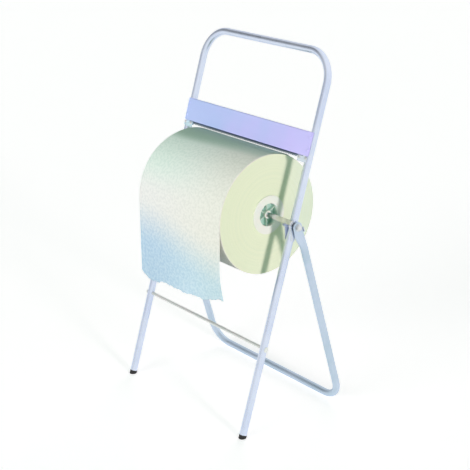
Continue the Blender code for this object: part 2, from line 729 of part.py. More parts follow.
def blade_nut(name, x, look, frame):
    """A hexagon nut on one of the plate's studs, behind the blade."""
    place = (x, GAP - BLADE_BACK, STUD_Z)
    turn = (-QUARTER_TURN, 0, 0)
    nut = finished(name, hex_block(NUT_FLATS, NUT_HEIGHT), look, frame, place, turn)
    bore = bmesh.new()
    centre = Matrix.Translation((0, 0, NUT_HEIGHT / 2))
    add_cylinder(bore, STUD_OD / 2 + GAP, NUT_HEIGHT + 2 * OVERRUN, SMALL_SIDES, centre)
    combine(nut, helper(name + "_bore", bore, frame, place, turn), "DIFFERENCE")


def blade_bracket(name, side, look, frame):
    """A small strip over the blade's ear and the tube, round at its outer end."""
    radius = BRACKET_HEIGHT / 2
    middle = (PLATE_X - radius, BRACKET_LOW + radius)
    outline = arc(middle, radius, -QUARTER_TURN, QUARTER_TURN, BRACKET_STEPS)
    outline += [(BRACKET_X, BRACKET_TOP), (BRACKET_X, BRACKET_LOW)]
    sheet = prism([(side * x, -PLATE_BACK, z) for x, z in outline], Vector((0, -BRACKET_SHEET, 0)))
    bracket = finished(name, sheet, look, frame)
    places = [place for place in rivet_places()[1] if place[0] * side > 0]
    combine(bracket, sheet_holes(name + "_holes", places, RIVET_OD, frame), "DIFFERENCE")


def rivet(name, x, z, front, look, frame):
    """A low-headed rivet through a sheet whose front face is given."""
    profile = [(0, -RIVET_LENGTH), (RIVET_OD / 2, -RIVET_LENGTH), (RIVET_OD / 2, 0)]
    profile += domed_head(RIVET_HEAD_OD / 2, 0, RIVET_HEAD_RISE)
    place = (x, -front - GAP, z)
    finished(name, turned(profile, BORE_SIDES), look, frame, place, (QUARTER_TURN, 0, 0))


def axle_rod(look, axle):
    """The loose rod that lies in the two saddles."""
    half = AXLE_HALF_LENGTH
    profile = [
        (0, -half), (AXLE_R - AXLE_CHAMFER, -half), (AXLE_R, AXLE_CHAMFER - half),
        (AXLE_R, half - AXLE_CHAMFER), (AXLE_R - AXLE_CHAMFER, half), (0, half),
    ]
    finished("axle_rod", turned(profile, ROUND_SIDES), look, axle, rotation=(0, QUARTER_TURN, 0))


def paper_roll(look, axle):
    """The wound paper, as one ring with slightly broken edges."""
    inner = CORE_OUTER_R + GAP
    profile = [
        (inner, -ROLL_X), (ROLL_R - ROLL_EDGE, -ROLL_X), (ROLL_R, ROLL_EDGE - ROLL_X),
        (ROLL_R, ROLL_X - ROLL_EDGE), (ROLL_R - ROLL_EDGE, ROLL_X), (inner, ROLL_X),
    ]
    bm = turned(profile, ROLL_SEGMENTS, closed=True)
    finished("paper_roll", bm, look, axle, rotation=(0, QUARTER_TURN, 0))


def cardboard_core(look, axle):
    """The tube that the paper is wound on."""
    length = ROLL_WIDTH - 2 * CORE_RECESS
    bm = ring(CORE_R, CORE_OUTER_R, length, BUSH_SEGMENTS)
    place = (-length / 2, 0, 0)
    finished("cardboard_core", bm, look, axle, place, (0, QUARTER_TURN, 0))


def core_bush(name, side, look, axle):
    """A flanged plug in the core's end, with a webbed hub that runs on the axle."""
    hub_r = AXLE_R + GAP
    hub_outer = hub_r + BUSH_HUB_WALL
    skirt_r = CORE_R - GAP
    skirt_inner = skirt_r - BUSH_WALL
    disc_low = -BUSH_DISC_DEPTH - BUSH_DISC
    profile = [
        (BUSH_FLANGE_OD / 2, 0), (BUSH_FLANGE_OD / 2, BUSH_FLANGE - BUSH_TAPER),
        (BUSH_FLANGE_OD / 2 - BUSH_TAPER, BUSH_FLANGE), (skirt_inner, BUSH_FLANGE),
        (skirt_inner - BUSH_TAPER, -BUSH_DISC_DEPTH), (hub_outer, -BUSH_DISC_DEPTH), (hub_outer, 0),
        (hub_r, 0), (hub_r, -BUSH_LENGTH), (hub_outer, -BUSH_LENGTH), (hub_outer, disc_low),
        (skirt_inner, disc_low), (skirt_inner, -BUSH_LENGTH),
        (skirt_r - BUSH_TAPER, -BUSH_LENGTH), (skirt_r, 0),
    ]
    place = (side * (ROLL_X + GAP), 0, 0)
    turn = (0, side * QUARTER_TURN, 0)
    bush = finished(name, turned(profile, BUSH_SEGMENTS, closed=True), look, axle, place, turn)
    ribs = bmesh.new()
    inner = hub_outer - BUSH_RIB_BITE
    outer = skirt_inner + BUSH_RIB_BITE
    height = BUSH_RIB_HEIGHT + BUSH_DISC / 2
    for index in range(BUSH_RIB_COUNT):
        matrix = (
            Matrix.Rotation(2 * HALF_TURN * index / BUSH_RIB_COUNT, 4, "Z")
            @ Matrix.Translation(((inner + outer) / 2, 0, height / 2 - BUSH_DISC_DEPTH - BUSH_DISC / 2))
            @ Matrix.Diagonal((outer - inner, BUSH_RIB, height, 1))
        )
        bmesh.ops.create_cube(ribs, size=1, matrix=matrix)
    combine(bush, helper(name + "_ribs", ribs, axle, place, turn), "UNION")


def sheet_row(turn, drop_share):
    """The points across the loose paper at one place round the roll or down its drop."""
    points = []
    for across, edge in zip(SHEET_COLUMN_SHARES, SHEET_EDGE_SHARES):
        drop = (SHEET_DROP + edge * SHEET_TORN_DEPTH) * drop_share
        right = max(across - SHEET_CURL_FROM_SHARE, 0) / (1 - SHEET_CURL_FROM_SHARE)
        low = max(drop_share - SHEET_CURL_LOW_SHARE, 0) / (1 - SHEET_CURL_LOW_SHARE)
        y = -SHEET_INNER_R * math.sin(turn) + SHEET_CURL * right * low * low
        z = SHEET_INNER_R * math.cos(turn) - drop
        points.append((ROLL_WIDTH * (across - 1 / 2), y, z))
    return points


def hanging_sheet(look, axle):
    """The loose end of the paper, round the roll's top and front and down to its torn edge."""
    sweep = SHEET_START + QUARTER_TURN
    rows = [sheet_row(sweep * step / SHEET_ARC_ROWS - SHEET_START, 0) for step in range(SHEET_ARC_ROWS + 1)]
    rows += [sheet_row(QUARTER_TURN, (step + 1) / SHEET_DROP_ROWS) for step in range(SHEET_DROP_ROWS)]
    bm = bmesh.new()
    grid = [[bm.verts.new(point) for point in points] for points in rows]
    for one, two in zip(grid, grid[1:]):
        for index in range(len(one) - 1):
            bm.faces.new((one[index], one[index + 1], two[index + 1], two[index]))
    sheet = finished("hanging_sheet", bm, look, axle)
    thicken(sheet, SHEET_THICKNESS, towards=Vector((0, 0, 1)))


def looks():
    """The materials of the stand."""
    return {
        "tube": material("satin_chrome", (0.72, 0.74, 0.80), 0.30, 1.0),
        "zinc": material("bright_zinc", (0.66, 0.67, 0.69), 0.35, 1.0),
        "plate": material("pale_blue_paint", (0.50, 0.54, 0.86), 0.40),
        "blade": material("bare_steel", (0.55, 0.56, 0.60), 0.28, 1.0),
        "cap": material("black_plastic", (0.012, 0.012, 0.013), 0.55),
        "paper": material("white_paper", (0.84, 0.86, 0.83), 0.90),
        "core": material("brown_cardboard", (0.42, 0.29, 0.17), 0.92),
        "bush": material("ivory_plastic", (0.76, 0.80, 0.72), 0.50),
    }


def pivot_hardware(side, word, look, frame):
    """The bolt, spacer, washer and nut that hold one rear leg."""
    pivot_bolt(f"pivot_bolt_{word}", side, look["zinc"], frame)
    pivot_ring(
        f"pivot_spacer_{word}", side, look["cap"], frame,
        SPACER_X, PIVOT_SPACER_OD, PIVOT_SPACER_THICKNESS,
    )
    pivot_ring(
        f"pivot_washer_{word}", side, look["zinc"], frame,
        WASHER_X, PIVOT_WASHER_OD, PIVOT_WASHER_THICKNESS,
    )
    pivot_nut(f"pivot_nut_{word}", side, look["zinc"], frame)


def build():
    """Model the whole stand, open and at rest on the floor."""
    clear_objects()
    look = looks()
    frame = axes("front_frame_axes", (0, FOOT_Y, 0), -LEAN)
    hinge = axes("rear_hinge_axes", (0, PIVOT_Y, PIVOT_Z), REAR_ANGLE)
    axle = axes("axle_axes", (0, AXLE_Y, AXLE_Z))
    front_frame_tube(look["tube"], frame)
    crossbar(look["tube"], frame)
    rear_frame_tube(look["tube"], hinge)
    tear_plate(look["plate"], frame)
    tear_blade(look["blade"], frame)
    for index, x in enumerate(stud_places(), 1):
        blade_nut(f"blade_nut_{index}", x, look["zinc"], frame)
    plate_places, bracket_places = rivet_places()
    for index, (x, z) in enumerate(plate_places, 1):
        rivet(f"plate_rivet_{index}", x, z, PLATE_FRONT, look["zinc"], frame)
    for index, (x, z) in enumerate(bracket_places, 1):
        rivet(f"bracket_rivet_{index}", x, z, PLATE_BACK + BRACKET_SHEET, look["zinc"], frame)
    axle_rod(look["zinc"], axle)
    paper_roll(look["paper"], axle)
    cardboard_core(look["core"], axle)
    hanging_sheet(look["paper"], axle)
    for side, word in ((-1, "left"), (1, "right")):
        foot_cap(f"foot_cap_{word}", side, look["cap"], frame)
        axle_saddle(f"axle_saddle_{word}", side, look["tube"], frame)
        pivot_hardware(side, word, look, frame)
        blade_bracket(f"blade_bracket_{word}", side, look["plate"], frame)
        core_bush(f"core_bush_{word}", side, look["bush"], axle)


build()
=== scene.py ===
"""Finished surfaces of a folding floor stand that carries a wide paper roll.

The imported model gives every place. Three sets of axes are used here: the front frame's
(across, ahead of the tube's axis, up the tube), the rear leg's (from its pivot) and the axle's.
Each new piece is a surface worked out on a grid of numbers, in metres.
"""

import json
import math

import bmesh
import bpy
import numpy as np
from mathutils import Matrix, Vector

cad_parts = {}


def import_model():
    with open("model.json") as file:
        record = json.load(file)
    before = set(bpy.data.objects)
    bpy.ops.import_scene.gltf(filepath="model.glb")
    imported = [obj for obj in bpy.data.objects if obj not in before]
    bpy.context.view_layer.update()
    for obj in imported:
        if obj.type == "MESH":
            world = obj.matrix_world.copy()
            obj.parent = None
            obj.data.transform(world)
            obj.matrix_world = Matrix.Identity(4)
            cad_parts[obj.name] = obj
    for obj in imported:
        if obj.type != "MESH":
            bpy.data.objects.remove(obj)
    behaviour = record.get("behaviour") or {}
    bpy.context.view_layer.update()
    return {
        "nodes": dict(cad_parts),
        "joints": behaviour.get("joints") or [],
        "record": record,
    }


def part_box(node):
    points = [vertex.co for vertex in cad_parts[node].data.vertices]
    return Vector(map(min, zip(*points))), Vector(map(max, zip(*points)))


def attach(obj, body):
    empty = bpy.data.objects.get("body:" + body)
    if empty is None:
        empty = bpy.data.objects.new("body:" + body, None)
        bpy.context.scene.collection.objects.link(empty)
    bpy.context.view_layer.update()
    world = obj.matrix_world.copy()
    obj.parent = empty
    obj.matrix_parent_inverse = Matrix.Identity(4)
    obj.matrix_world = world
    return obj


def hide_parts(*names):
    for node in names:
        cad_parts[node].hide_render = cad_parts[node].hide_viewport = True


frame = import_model()

# Places read from the imported model, with the tube's radius and the gap between pieces given
JOINT = {joint["name"]: joint for joint in frame["joints"]}
MOUNT = {mount["name"]: mount for mount in frame["record"]["mounts"]}
BODY_OF = {node: body for body, nodes in frame["record"]["behaviour"]["bodies"].items() for node in nodes}
FOOT_X, FOOT_Y, _ = MOUNT["foot_right"]["pos_m"]
PIVOT = np.array(JOINT["rear_frame_fold"]["pos_m"])
AXLE = np.array(JOINT["roll_spin"]["pos_m"])
LEAN = math.atan2(PIVOT[1] - FOOT_Y, PIVOT[2])
PIVOT_HEIGHT = math.hypot(PIVOT[1] - FOOT_Y, PIVOT[2])
TUBE_R = 0.009
RAIL_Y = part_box("rear_frame_tube")[1].y - TUBE_R
REAR_ANGLE = math.atan2(RAIL_Y - PIVOT[1], PIVOT[2] - TUBE_R)
REAR_LENGTH = math.hypot(RAIL_Y - PIVOT[1], PIVOT[2] - TUBE_R)
REAR_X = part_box("rear_frame_tube")[1].x - TUBE_R
ROLL_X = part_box("paper_roll")[1].x
ROLL_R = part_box("paper_roll")[1].z - AXLE[2]
GAP = 0.0003

# Meshes
WELD = 1e-7
ROLL_WELD = 1e-6
SHEET_METAL_WELD = 2e-6
SHARP_ANGLE = math.radians(35)
NUT_SHARP_ANGLE = math.radians(25)
FLAT_ANGLE = math.radians(0.6)
BROKEN_EDGE_ANGLE = math.radians(40)
ROUNDING = 1e-9
NEARLY_ALONG = 0.9
DRILL_SEGMENTS = 32

# Front tube
TUBE_WALL = 0.0012
TUBE_SIDES = 48
HANDLE_BEND = 0.070
BEND_OVAL = 0.03
LEG_STEPS = 60
BAR_STEPS = 24
BEND_STEPS = 40

# Rear tube
REAR_BEND = 0.055
PRESSED_WIDTH = 0.026
PRESSED_THICKNESS = 0.0036
PRESSED_LENGTH = 0.020
PRESS_RUN = 0.036
PRESS_STEPS = 20
TIP_STEPS = 16
TIP_SWEEP = math.radians(84)
PRESSED_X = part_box("pivot_spacer_right")[1].x + GAP + PRESSED_THICKNESS / 2

# Foot caps and crossbar
CAP_HEIGHT = 0.008
CAP_R = 0.0092
CAP_FOOT_EDGE = 0.0007
CAP_TOP_EDGE = 0.0005
CAP_NECK_EDGE = 0.0002
CAP_SEGMENTS = 64
CAP_EDGE_STEPS = 6
CAP_PLUG_LENGTH = 0.014
CAP_PLUG_EDGE = 0.001
CROSSBAR_HEIGHT = 0.218
CROSSBAR_R = 0.004
CROSSBAR_HEAD_R = 0.0065
CROSSBAR_HEAD_RISE = 0.0016
CROSSBAR_SEGMENTS = 40

# Axle, core and bushes
AXLE_R = 0.006
AXLE_CHAMFER = 0.001
AXLE_CENTRE_R = 0.0014
AXLE_EDGE = 0.00012
AXLE_EDGE_STEPS = 2
AXLE_SEGMENTS = 64
CORE_R = 0.030
CORE_WALL = 0.003
CORE_RECESS = 0.0005
CORE_SEAM_PITCH = 0.070
CORE_SEAM_SHARE = 0.012
CORE_SEGMENTS = 96
BUSH_FLANGE_R = 0.046
BUSH_FLANGE = 0.003
BUSH_WALL = 0.0026
BUSH_LENGTH = 0.030
BUSH_DISC_DEPTH = 0.014
BUSH_DISC = 0.002
BUSH_HUB_WALL = 0.003
BUSH_EDGE = 0.0006
BUSH_END_EDGE = 0.0002
BUSH_CORNER = 0.0003
BUSH_RIBS = 6
BUSH_RIB = 0.002
BUSH_RIB_HEIGHT = 0.009
BUSH_RIB_EDGE = 0.0003
BUSH_FLOOR_ROWS = 30
BUSH_GAP_COLUMNS = 8

# Sheet metal, with the width of its broken edges
PLATE_SHEET = 0.0015
PLATE_EDGE = 0.00025
SADDLE_EDGE = 0.0003
BLADE_EDGE = 0.0001
BLADE_TIP = 0.663
TOOTH_BAND = 0.0045
GROUND_BELOW = 0.0003
GROUND_ABOVE = 0.0002

# Rivets and blade nuts
RIVET_R = 0.002
RIVET_HEAD_R = 0.00375
RIVET_HEAD_RISE = 0.0016
RIVET_LENGTH = 0.0045
RIVET_EDGE = 0.0002
RIVET_SEGMENTS = 40
NUT_FLATS = 0.007
NUT_HEIGHT = 0.0032
NUT_BORE_R = 0.0023
NUT_SEGMENTS = 96
NUT_LEVELS = 15
NUT_CHAMFER_SHARE = 0.12
NUT_CHAMFER_SLOPE = 1.1

# Pivot bolts, nuts and rings
PIVOT_BOLT_R = 0.004
PIVOT_BOLT_CHAMFER = 0.0006
PIVOT_HEAD_R = 0.0075
PIVOT_HEAD_HEIGHT = 0.005
PIVOT_HEAD_WALL = 0.0015
PIVOT_NUT_FLATS = 0.013
PIVOT_NUT_HEIGHT = 0.0045
PIVOT_NUT_DOME = 0.004
PIVOT_NUT_SHOULDER = 0.0006
PIVOT_NUT_DOME_STEPS = 14
PIVOT_SEGMENTS = 48
RING_EDGE = 0.0002
RING_EDGE_STEPS = 3
RING_SEGMENTS = 64

# Paper
ROLL_EDGE = 0.0009
ROLL_EDGE_STEPS = 5
ROLL_SEGMENTS = 160
ROLL_LAYER_ROWS = 120
ROLL_RELIEF = 0.00010
ROLL_COARSE_ROWS = 9
ROLL_COARSE_GAIN = 2.5
ROLL_COARSE_SHARE = 0.55
ROLL_FINE_SHARE = 0.35
ROLL_SEED = 11
SHEET_GAP = 0.0009
SHEET_THICKNESS = 0.00036
SHEET_START_SHARE = 0.1
SHEET_PRESSED_SHARE = 0.8
SHEET_TAPER = math.radians(5)
SHEET_CROWN = 0.0012
SHEET_CROWN_RIGHT_SHARE = 0.75
SHEET_CROWN_FROM = math.radians(-12)
SHEET_CROWN_END = math.radians(22)
SHEET_SLACK = 0.0055
SHEET_SLACK_FROM = math.radians(2)
SHEET_SLACK_FULL = math.radians(80)
SHEET_LOOSE_POWER = 1.5
SHEET_SWING = 0.0006
SHEET_START = math.radians(27)
SHEET_DROP = 0.196
SHEET_CURL = 0.016
SHEET_CURL_FROM_SHARE = 0.55
SHEET_CURL_LOW_SHARE = 0.5
SHEET_TORN_DEPTH = 0.018
SHEET_FRAYS = ((0.0012, 9), (0.0007, 3))
SHEET_SEED = 5
SHEET_COLUMNS = 241
SHEET_ROWS = 205
SHEET_BUCKLE = 0.0012
SHEET_BUCKLE_POWER = 1.5
SHEET_BUCKLE_WAVES = 1.35
SHEET_BUCKLE_SHIFT = 0.12
SHEET_BUCKLE_TWIST = 1.1
EDGE_AT_SHARES = (0.0, 0.05, 0.15, 0.25, 0.4, 0.55, 0.7, 0.8, 0.86, 0.93, 1.0)
EDGE_SHARES = (-0.45, 0.05, 0.5, 0.05, 0.0, 0.0, 0.0, -0.1, -0.5, -0.8, -0.9)

# Places of the tones, some of them painted light and shade: each pair is where a tone begins and where it is
# full
LEFT_REACH = (0.15, -0.13)
# Painted green cast of light, high on the left of the paper
PAINTED_GREEN_CAST_REACH = (0.52, 0.60)
# Painted bluish shade at the foot of the loose paper
PAINTED_BLUE_SHADE_REACH = (0.475, 0.345)
PAINTED_BLUE_SHADE_LEFT_RISE = 0.045
PAINTED_BLUE_SHADE_RAGGED = 0.02
# Painted grey-green shade along the roll's top, under the plate: depth, narrowing to the right, raggedness,
# reach behind
PAINTED_CROWN_SHADE_DEPTH = 0.0095
PAINTED_CROWN_SHADE_NARROW = 0.0055
PAINTED_CROWN_SHADE_RAGGED = 0.004
PAINTED_CROWN_SHADE_BEHIND_SHARE = 0.3
BACK_REACH = (0.02, 0.13)
# Painted shade, darker and greener, down in the bushes' recess
RECESS_PAINTED_SHADE_FULL = 0.012
RECESS_PAINTED_SHADE_END = 0.002
SCUFF_HEIGHT = 0.003

# Tones of plated and painted metal: the dull and the clear, or the left end and the right
FRONT_CHROME = ((0.63, 0.71, 0.89), (0.72, 0.79, 0.93))
REAR_CHROME = ((0.50, 0.63, 0.75), (0.60, 0.70, 0.84))
REAR_SATIN = 0.16
PLATE_PAINT = ((0.47, 0.57, 0.92), (0.60, 0.55, 0.98))
BRACKET_PAINT = ((0.55, 0.72, 0.82), (0.62, 0.68, 0.78))

# Values of a noise between which its pattern shows, and where its patches are full
NOISE_REACH = (0.3, 0.7)
PATCH_FULL = 0.8

# Camera and light
PHOTO_PIXELS = 470
FOCAL_PIXELS = 1170.95
SENSOR = 36.0
CAMERA_PLACE = (2.0481, -1.696592, 1.3647)
CAMERA_TURN = (math.radians(70.17), 0.0, math.radians(50.145))
SHADOW_ACROSS = 0.0705
SHADOW_BEHIND = 0.013
KEY_RISE = math.radians(5)
KEY_LEVEL = 0.74
KEY_ANGLE = math.radians(9.5)
KEY_TINT = (1.0, 0.80, 0.88)
FILL_TOWARDS = (-0.02, 1.0, -0.12)
FILL_LEVEL = 0.87
FILL_ANGLE = math.radians(40)
FILL_TINT = (1.0, 0.91, 0.95)
BACK_TOWARDS = (0.7, -1.0, -0.2)
BACK_LEVEL = 0.72
BACK_TINT = (1.0, 0.72, 0.84)
AMBIENT_LOW = (0.24, 0.54, 0.36)
AMBIENT_HIGH = (0.09, 0.16, 0.13)
AMBIENT_RISE = (0.0, 0.75)
FLOOR_TONE = (0.78, 0.74, 0.76)
FLOOR_GLOW = 0.62
FLOOR_HALF = 60.0

# Dim sides of the studio, for gloss alone: where each lies, its cone as cosines, and the level left in it
DIM_CARDS = (
    ((-0.78, -0.62, 0.10), (0.3, 0.9), 0.62),
    ((-0.76, -0.40, 0.52), (0.86, 0.97), 0.25),
    ((-0.90, -0.45, 0.0), (0.0, 0.92), 0.62),
)


def on_front(across, ahead, up):
    """World places from the front frame's axes: up the leaning tube, and ahead square to it."""
    across, ahead, up = np.broadcast_arrays(across, ahead, up)
    y = FOOT_Y + up * math.sin(LEAN) - ahead * math.cos(LEAN)
    z = up * math.cos(LEAN) + ahead * math.sin(LEAN)
    return np.stack([across, y, z], axis=-1)


def on_rear(across, back, up):
    """World places from the rear leg's axes: its pivot, back square to the leg, up along it."""
    across, back, up = np.broadcast_arrays(across, back, up)
    y = PIVOT[1] + back * math.cos(REAR_ANGLE) - up * math.sin(REAR_ANGLE)
    z = PIVOT[2] + back * math.sin(REAR_ANGLE) + up * math.cos(REAR_ANGLE)
    return np.stack([across, y, z], axis=-1)


UP_FRONT = on_front(0, 0, 1) - on_front(0, 0, 0)
AHEAD_FRONT = on_front(0, 1, 0) - on_front(0, 0, 0)
ALONG_X = np.array([1.0, 0.0, 0.0])


def ease(value):
    """Smooth step from 0 to 1: three squares less two cubes of the clipped value."""
    value = np.clip(value, 0, 1)
    return value * value * (3 - 2 * value)


def smooth_through(at, places, values):
    """A smooth curve through given values, its slopes taken from the neighbours on each side.

    Each stretch mixes the straight lines through its two ends, one at each end's slope, with the ends' own
    values, by shares that always add up to one.
    """
    places, values = np.asarray(places), np.asarray(values)
    slopes = np.gradient(values, places)
    left = np.clip(np.searchsorted(places, at, side="right") - 1, 0, len(places) - 2)
    width = places[left + 1] - places[left]
    part = (at - places[left]) / width
    start = values[left] + slopes[left] * width * part
    end = values[left + 1] - slopes[left + 1] * width * (1 - part)
    near = start * (1 - part) ** 2 * (1 + part) + end * part ** 2 * (2 - part)
    spill = values[left] * (1 - part) ** 2 * part + values[left + 1] * part ** 2 * (1 - part)
    return near + spill


def quads(rows, columns, round_rows, round_columns):
    """Corner numbers of the faces between neighbouring points of a grid."""
    row = np.arange(rows if round_rows else rows - 1)
    column = np.arange(columns if round_columns else columns - 1)
    row, column = np.meshgrid(row, column, indexing="ij")
    next_row, next_column = (row + 1) % rows, (column + 1) % columns
    corners = [
        row * columns + column, row * columns + next_column,
        next_row * columns + next_column, next_row * columns + column,
    ]
    return np.stack(corners, axis=-1).reshape(-1, 4)


def surface(points, along=None, around=None, round_rows=False, round_columns=False, look=0):
    """One grid of a piece, with its map in metres: along for each row, around for each column."""
    rows, columns = points.shape[:2]
    faces = quads(rows, columns, round_rows, round_columns)
    along = np.zeros(rows) if along is None else along
    around = np.zeros(columns) if around is None else around
    row, column = faces // columns, faces % columns
    chart = np.stack([around[column], along[row]], axis=-1)
    if round_columns:
        step = around[-1] * columns / max(columns - 1, 1)
        chart[..., 0] += np.where((column == 0) & (column.max(axis=1, keepdims=True) == columns - 1), step, 0)
    return {"points": points.reshape(-1, 3), "faces": faces, "chart": chart, "look": look}


def piece(name, surfaces, looks, sharp=SHARP_ANGLE, weld=WELD):
    """One object from grids of points, welded where they meet, with its faces pointing out."""
    points, faces, charts, marks, start = [], [], [], [], 0
    for grid in surfaces:
        points.append(grid["points"])
        faces.append(grid["faces"] + start)
        charts.append(grid["chart"].reshape(-1, 2))
        marks.append(np.full(len(grid["faces"]), grid["look"]))
        start += len(grid["points"])
    mesh = bpy.data.meshes.new(name)
    mesh.from_pydata(np.concatenate(points), [], np.concatenate(faces))
    chart = mesh.uv_layers.new(name="metres")
    chart.data.foreach_set("uv", np.concatenate(charts).astype(np.float32).ravel())
    mesh.polygons.foreach_set("material_index", np.concatenate(marks).astype(np.int32))
    tidy = bmesh.new()
    tidy.from_mesh(mesh)
    bmesh.ops.remove_doubles(tidy, verts=tidy.verts, dist=weld)
    bmesh.ops.recalc_face_normals(tidy, faces=tidy.faces)
    tidy.to_mesh(mesh)
    tidy.free()
    return shown(name, mesh, looks, sharp)


def shown(name, mesh, looks, sharp):
    """A smooth-shaded object at the origin, with its materials."""
    mesh.shade_smooth()
    mesh.set_sharp_from_angle(angle=sharp)
    made = bpy.data.objects.new(name, mesh)
    for look in looks:
        mesh.materials.append(look)
    bpy.context.scene.collection.objects.link(made)
    return made


def stands_for(made, node):
    """Hide the solid that a piece replaces and give the piece that solid's body."""
    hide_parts(node)
    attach(made, BODY_OF[node])
    return made


def path_length(centre):
    """Distance along a path at each of its points."""
    return np.concatenate([[0], np.cumsum(np.linalg.norm(np.diff(centre, axis=0), axis=1))])


def square_to(axis):
    """Two directions square to an axis, the first also square to X unless the axis lies along it."""
    side = np.cross(axis, ALONG_X if abs(axis[0]) < NEARLY_ALONG else (0.0, 0.0, 1.0))
    side /= np.linalg.norm(side)
    return side, np.cross(axis, side)


def turned(profile, segments, origin, axis):
    """A turned surface: each profile point (radius, height) carried round the axis from an origin."""
    profile = np.asarray(profile, dtype=float)
    side, other = square_to(axis)
    turn = np.linspace(0, 2 * np.pi, segments, endpoint=False)
    spoke = np.cos(turn)[:, None] * side + np.sin(turn)[:, None] * other
    points = np.asarray(origin) + profile[:, 0, None, None] * spoke + profile[:, 1, None, None] * axis
    return surface(points, path_length(profile), turn * profile[:, 0].max(), round_columns=True)


def fillet(corner_in, corner, corner_out, radius, steps=5):
    """Points of a corner rounded by a parabola that touches the lines to its two neighbours."""
    corner_in, corner, corner_out = (np.asarray(p, dtype=float) for p in (corner_in, corner, corner_out))
    one = (corner_in - corner) / np.linalg.norm(corner_in - corner)
    two = (corner_out - corner) / np.linalg.norm(corner_out - corner)
    part = np.linspace(0, 1, steps + 1)[:, None]
    start, end = corner + one * radius, corner + two * radius
    return (1 - part) ** 2 * start + 2 * part * (1 - part) * corner + part ** 2 * end


def rounded(profile, radius, steps=5, closed=False):
    """A profile with each inner corner rounded; radius is one value or one for each corner."""
    profile = np.asarray(profile, dtype=float)
    count = len(profile)
    radii = np.broadcast_to(radius, count)
    made = []
    for index in range(count):
        if not closed and index in (0, count - 1) or radii[index] <= 0:
            made.append(profile[index][None])
        else:
            before, after = profile[index - 1], profile[(index + 1) % count]
            made.append(fillet(before, profile[index], after, radii[index], steps))
    points = np.concatenate(made)
    return np.concatenate([points, points[:1]]) if closed else points


def swept(centre, heading, normal, half_in, half_out, sides):
    """A tube along a flat path: at each place an ellipse, half_in wide in its plane and half_out across."""
    turn = np.linspace(0, 2 * np.pi, sides, endpoint=False)
    inward = np.cross(normal, heading)
    half_in, half_out = (np.broadcast_to(h, len(centre))[:, None, None] for h in (half_in, half_out))
    points = (
        centre[:, None] + half_in * np.cos(turn)[None, :, None] * inward[:, None]
        + half_out * np.sin(turn)[None, :, None] * normal
    )
    return points, turn


def u_way(half_width, near, far, bend):
    """Flat U path as across and up, with its heading and how far each place is into a bend."""
    way = math.copysign(1, far - near)
    leg = np.linspace(near, far - way * bend, LEG_STEPS, endpoint=False)
    bar = np.linspace(-half_width + bend, half_width - bend, BAR_STEPS + 2)[1:-1]
    turn = np.linspace(0, np.pi / 2, BEND_STEPS + 1)
    left_bend = bend - half_width - bend * np.cos(turn)
    bend_up = far - way * bend + way * bend * np.sin(turn)
    on_leg, on_bar = np.ones(LEG_STEPS), np.ones(BAR_STEPS)
    across = np.concatenate([-half_width * on_leg, left_bend, bar, -left_bend[::-1], half_width * on_leg])
    up = np.concatenate([leg, bend_up, far * on_bar, bend_up[::-1], leg[::-1]])
    angle = np.concatenate([0 * on_leg, turn, np.pi / 2 * on_bar, np.pi - turn[::-1], np.pi * on_leg])
    inside = np.concatenate([0 * on_leg, np.sin(2 * turn), 0 * on_bar, np.sin(2 * turn), 0 * on_leg])
    return across, up, np.sin(angle), way * np.cos(angle), inside


def cut(made, tools):
    """Cut other closed grids out of a piece and keep the result as its mesh."""
    cutter = piece(made.name + "_tools", tools, [])
    step = made.modifiers.new("cut", "BOOLEAN")
    step.operation = "DIFFERENCE"
    step.solver = "EXACT"
    step.object = cutter
    graph = bpy.context.evaluated_depsgraph_get()
    mesh = bpy.data.meshes.new_from_object(made.evaluated_get(graph))
    made.modifiers.clear()
    made.data = mesh
    mesh.set_sharp_from_angle(angle=SHARP_ANGLE)
    bpy.data.objects.remove(cutter, do_unlink=True)
    return made


def drill(centre, axis, radius, depth):
    """A closed cylinder to cut with, centred on a place."""
    half = depth / 2
    return turned([(0, -half), (radius, -half), (radius, half), (0, half)], DRILL_SEGMENTS, centre, axis)


def rivet_places():
    """Names of the eight rivets, with their centres as across and up on the front frame."""
    found = []
    for node in sorted(frame["nodes"]):
        if node.startswith(("plate_rivet", "bracket_rivet")):
            low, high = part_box(node)
            middle = (np.array(low) + np.array(high)) / 2 - on_front(0, 0, 0)
            found.append((node, middle[0], middle @ UP_FRONT))
    return found


def front_tube(look):
    """The bent tube: a round wall swept along the U, a little oval in its bends, with its holes."""
    top = (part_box("front_frame_tube")[1].z - TUBE_R) / math.cos(LEAN)
    across, up, head_x, head_up, inside = u_way(FOOT_X, CAP_HEIGHT + GAP, top, HANDLE_BEND)
    centre = on_front(across, 0, up)
    heading = head_x[:, None] * ALONG_X + head_up[:, None] * UP_FRONT
    outer, turn = swept(centre, heading, AHEAD_FRONT, TUBE_R * (1 - BEND_OVAL * inside), TUBE_R, TUBE_SIDES)
    bore = TUBE_R - TUBE_WALL
    oval_bore = bore * (1 - BEND_OVAL * inside[::-1])
    inner, _ = swept(centre[::-1], heading[::-1], AHEAD_FRONT, oval_bore, bore, TUBE_SIDES)
    length = path_length(centre)
    shell = surface(
        np.concatenate([outer, inner]), np.concatenate([length, length[::-1]]), turn * TUBE_R,
        round_rows=True, round_columns=True,
    )
    tube = piece("front_tube_bent", [shell], [look])
    tools = []
    for side in (-1, 1):
        for height, radius in ((CROSSBAR_HEIGHT, CROSSBAR_R), (PIVOT_HEIGHT, PIVOT_BOLT_R)):
            tools.append(drill(on_front(side * FOOT_X, 0, height), ALONG_X, radius + GAP, 4 * TUBE_R))
    for _, x, height in rivet_places():
        if abs(x) > FOOT_X - TUBE_R:
            tools.append(drill(on_front(x, TUBE_R, height), AHEAD_FRONT, RIVET_R + GAP, TUBE_R))
    return stands_for(cut(tube, tools), "front_frame_tube")


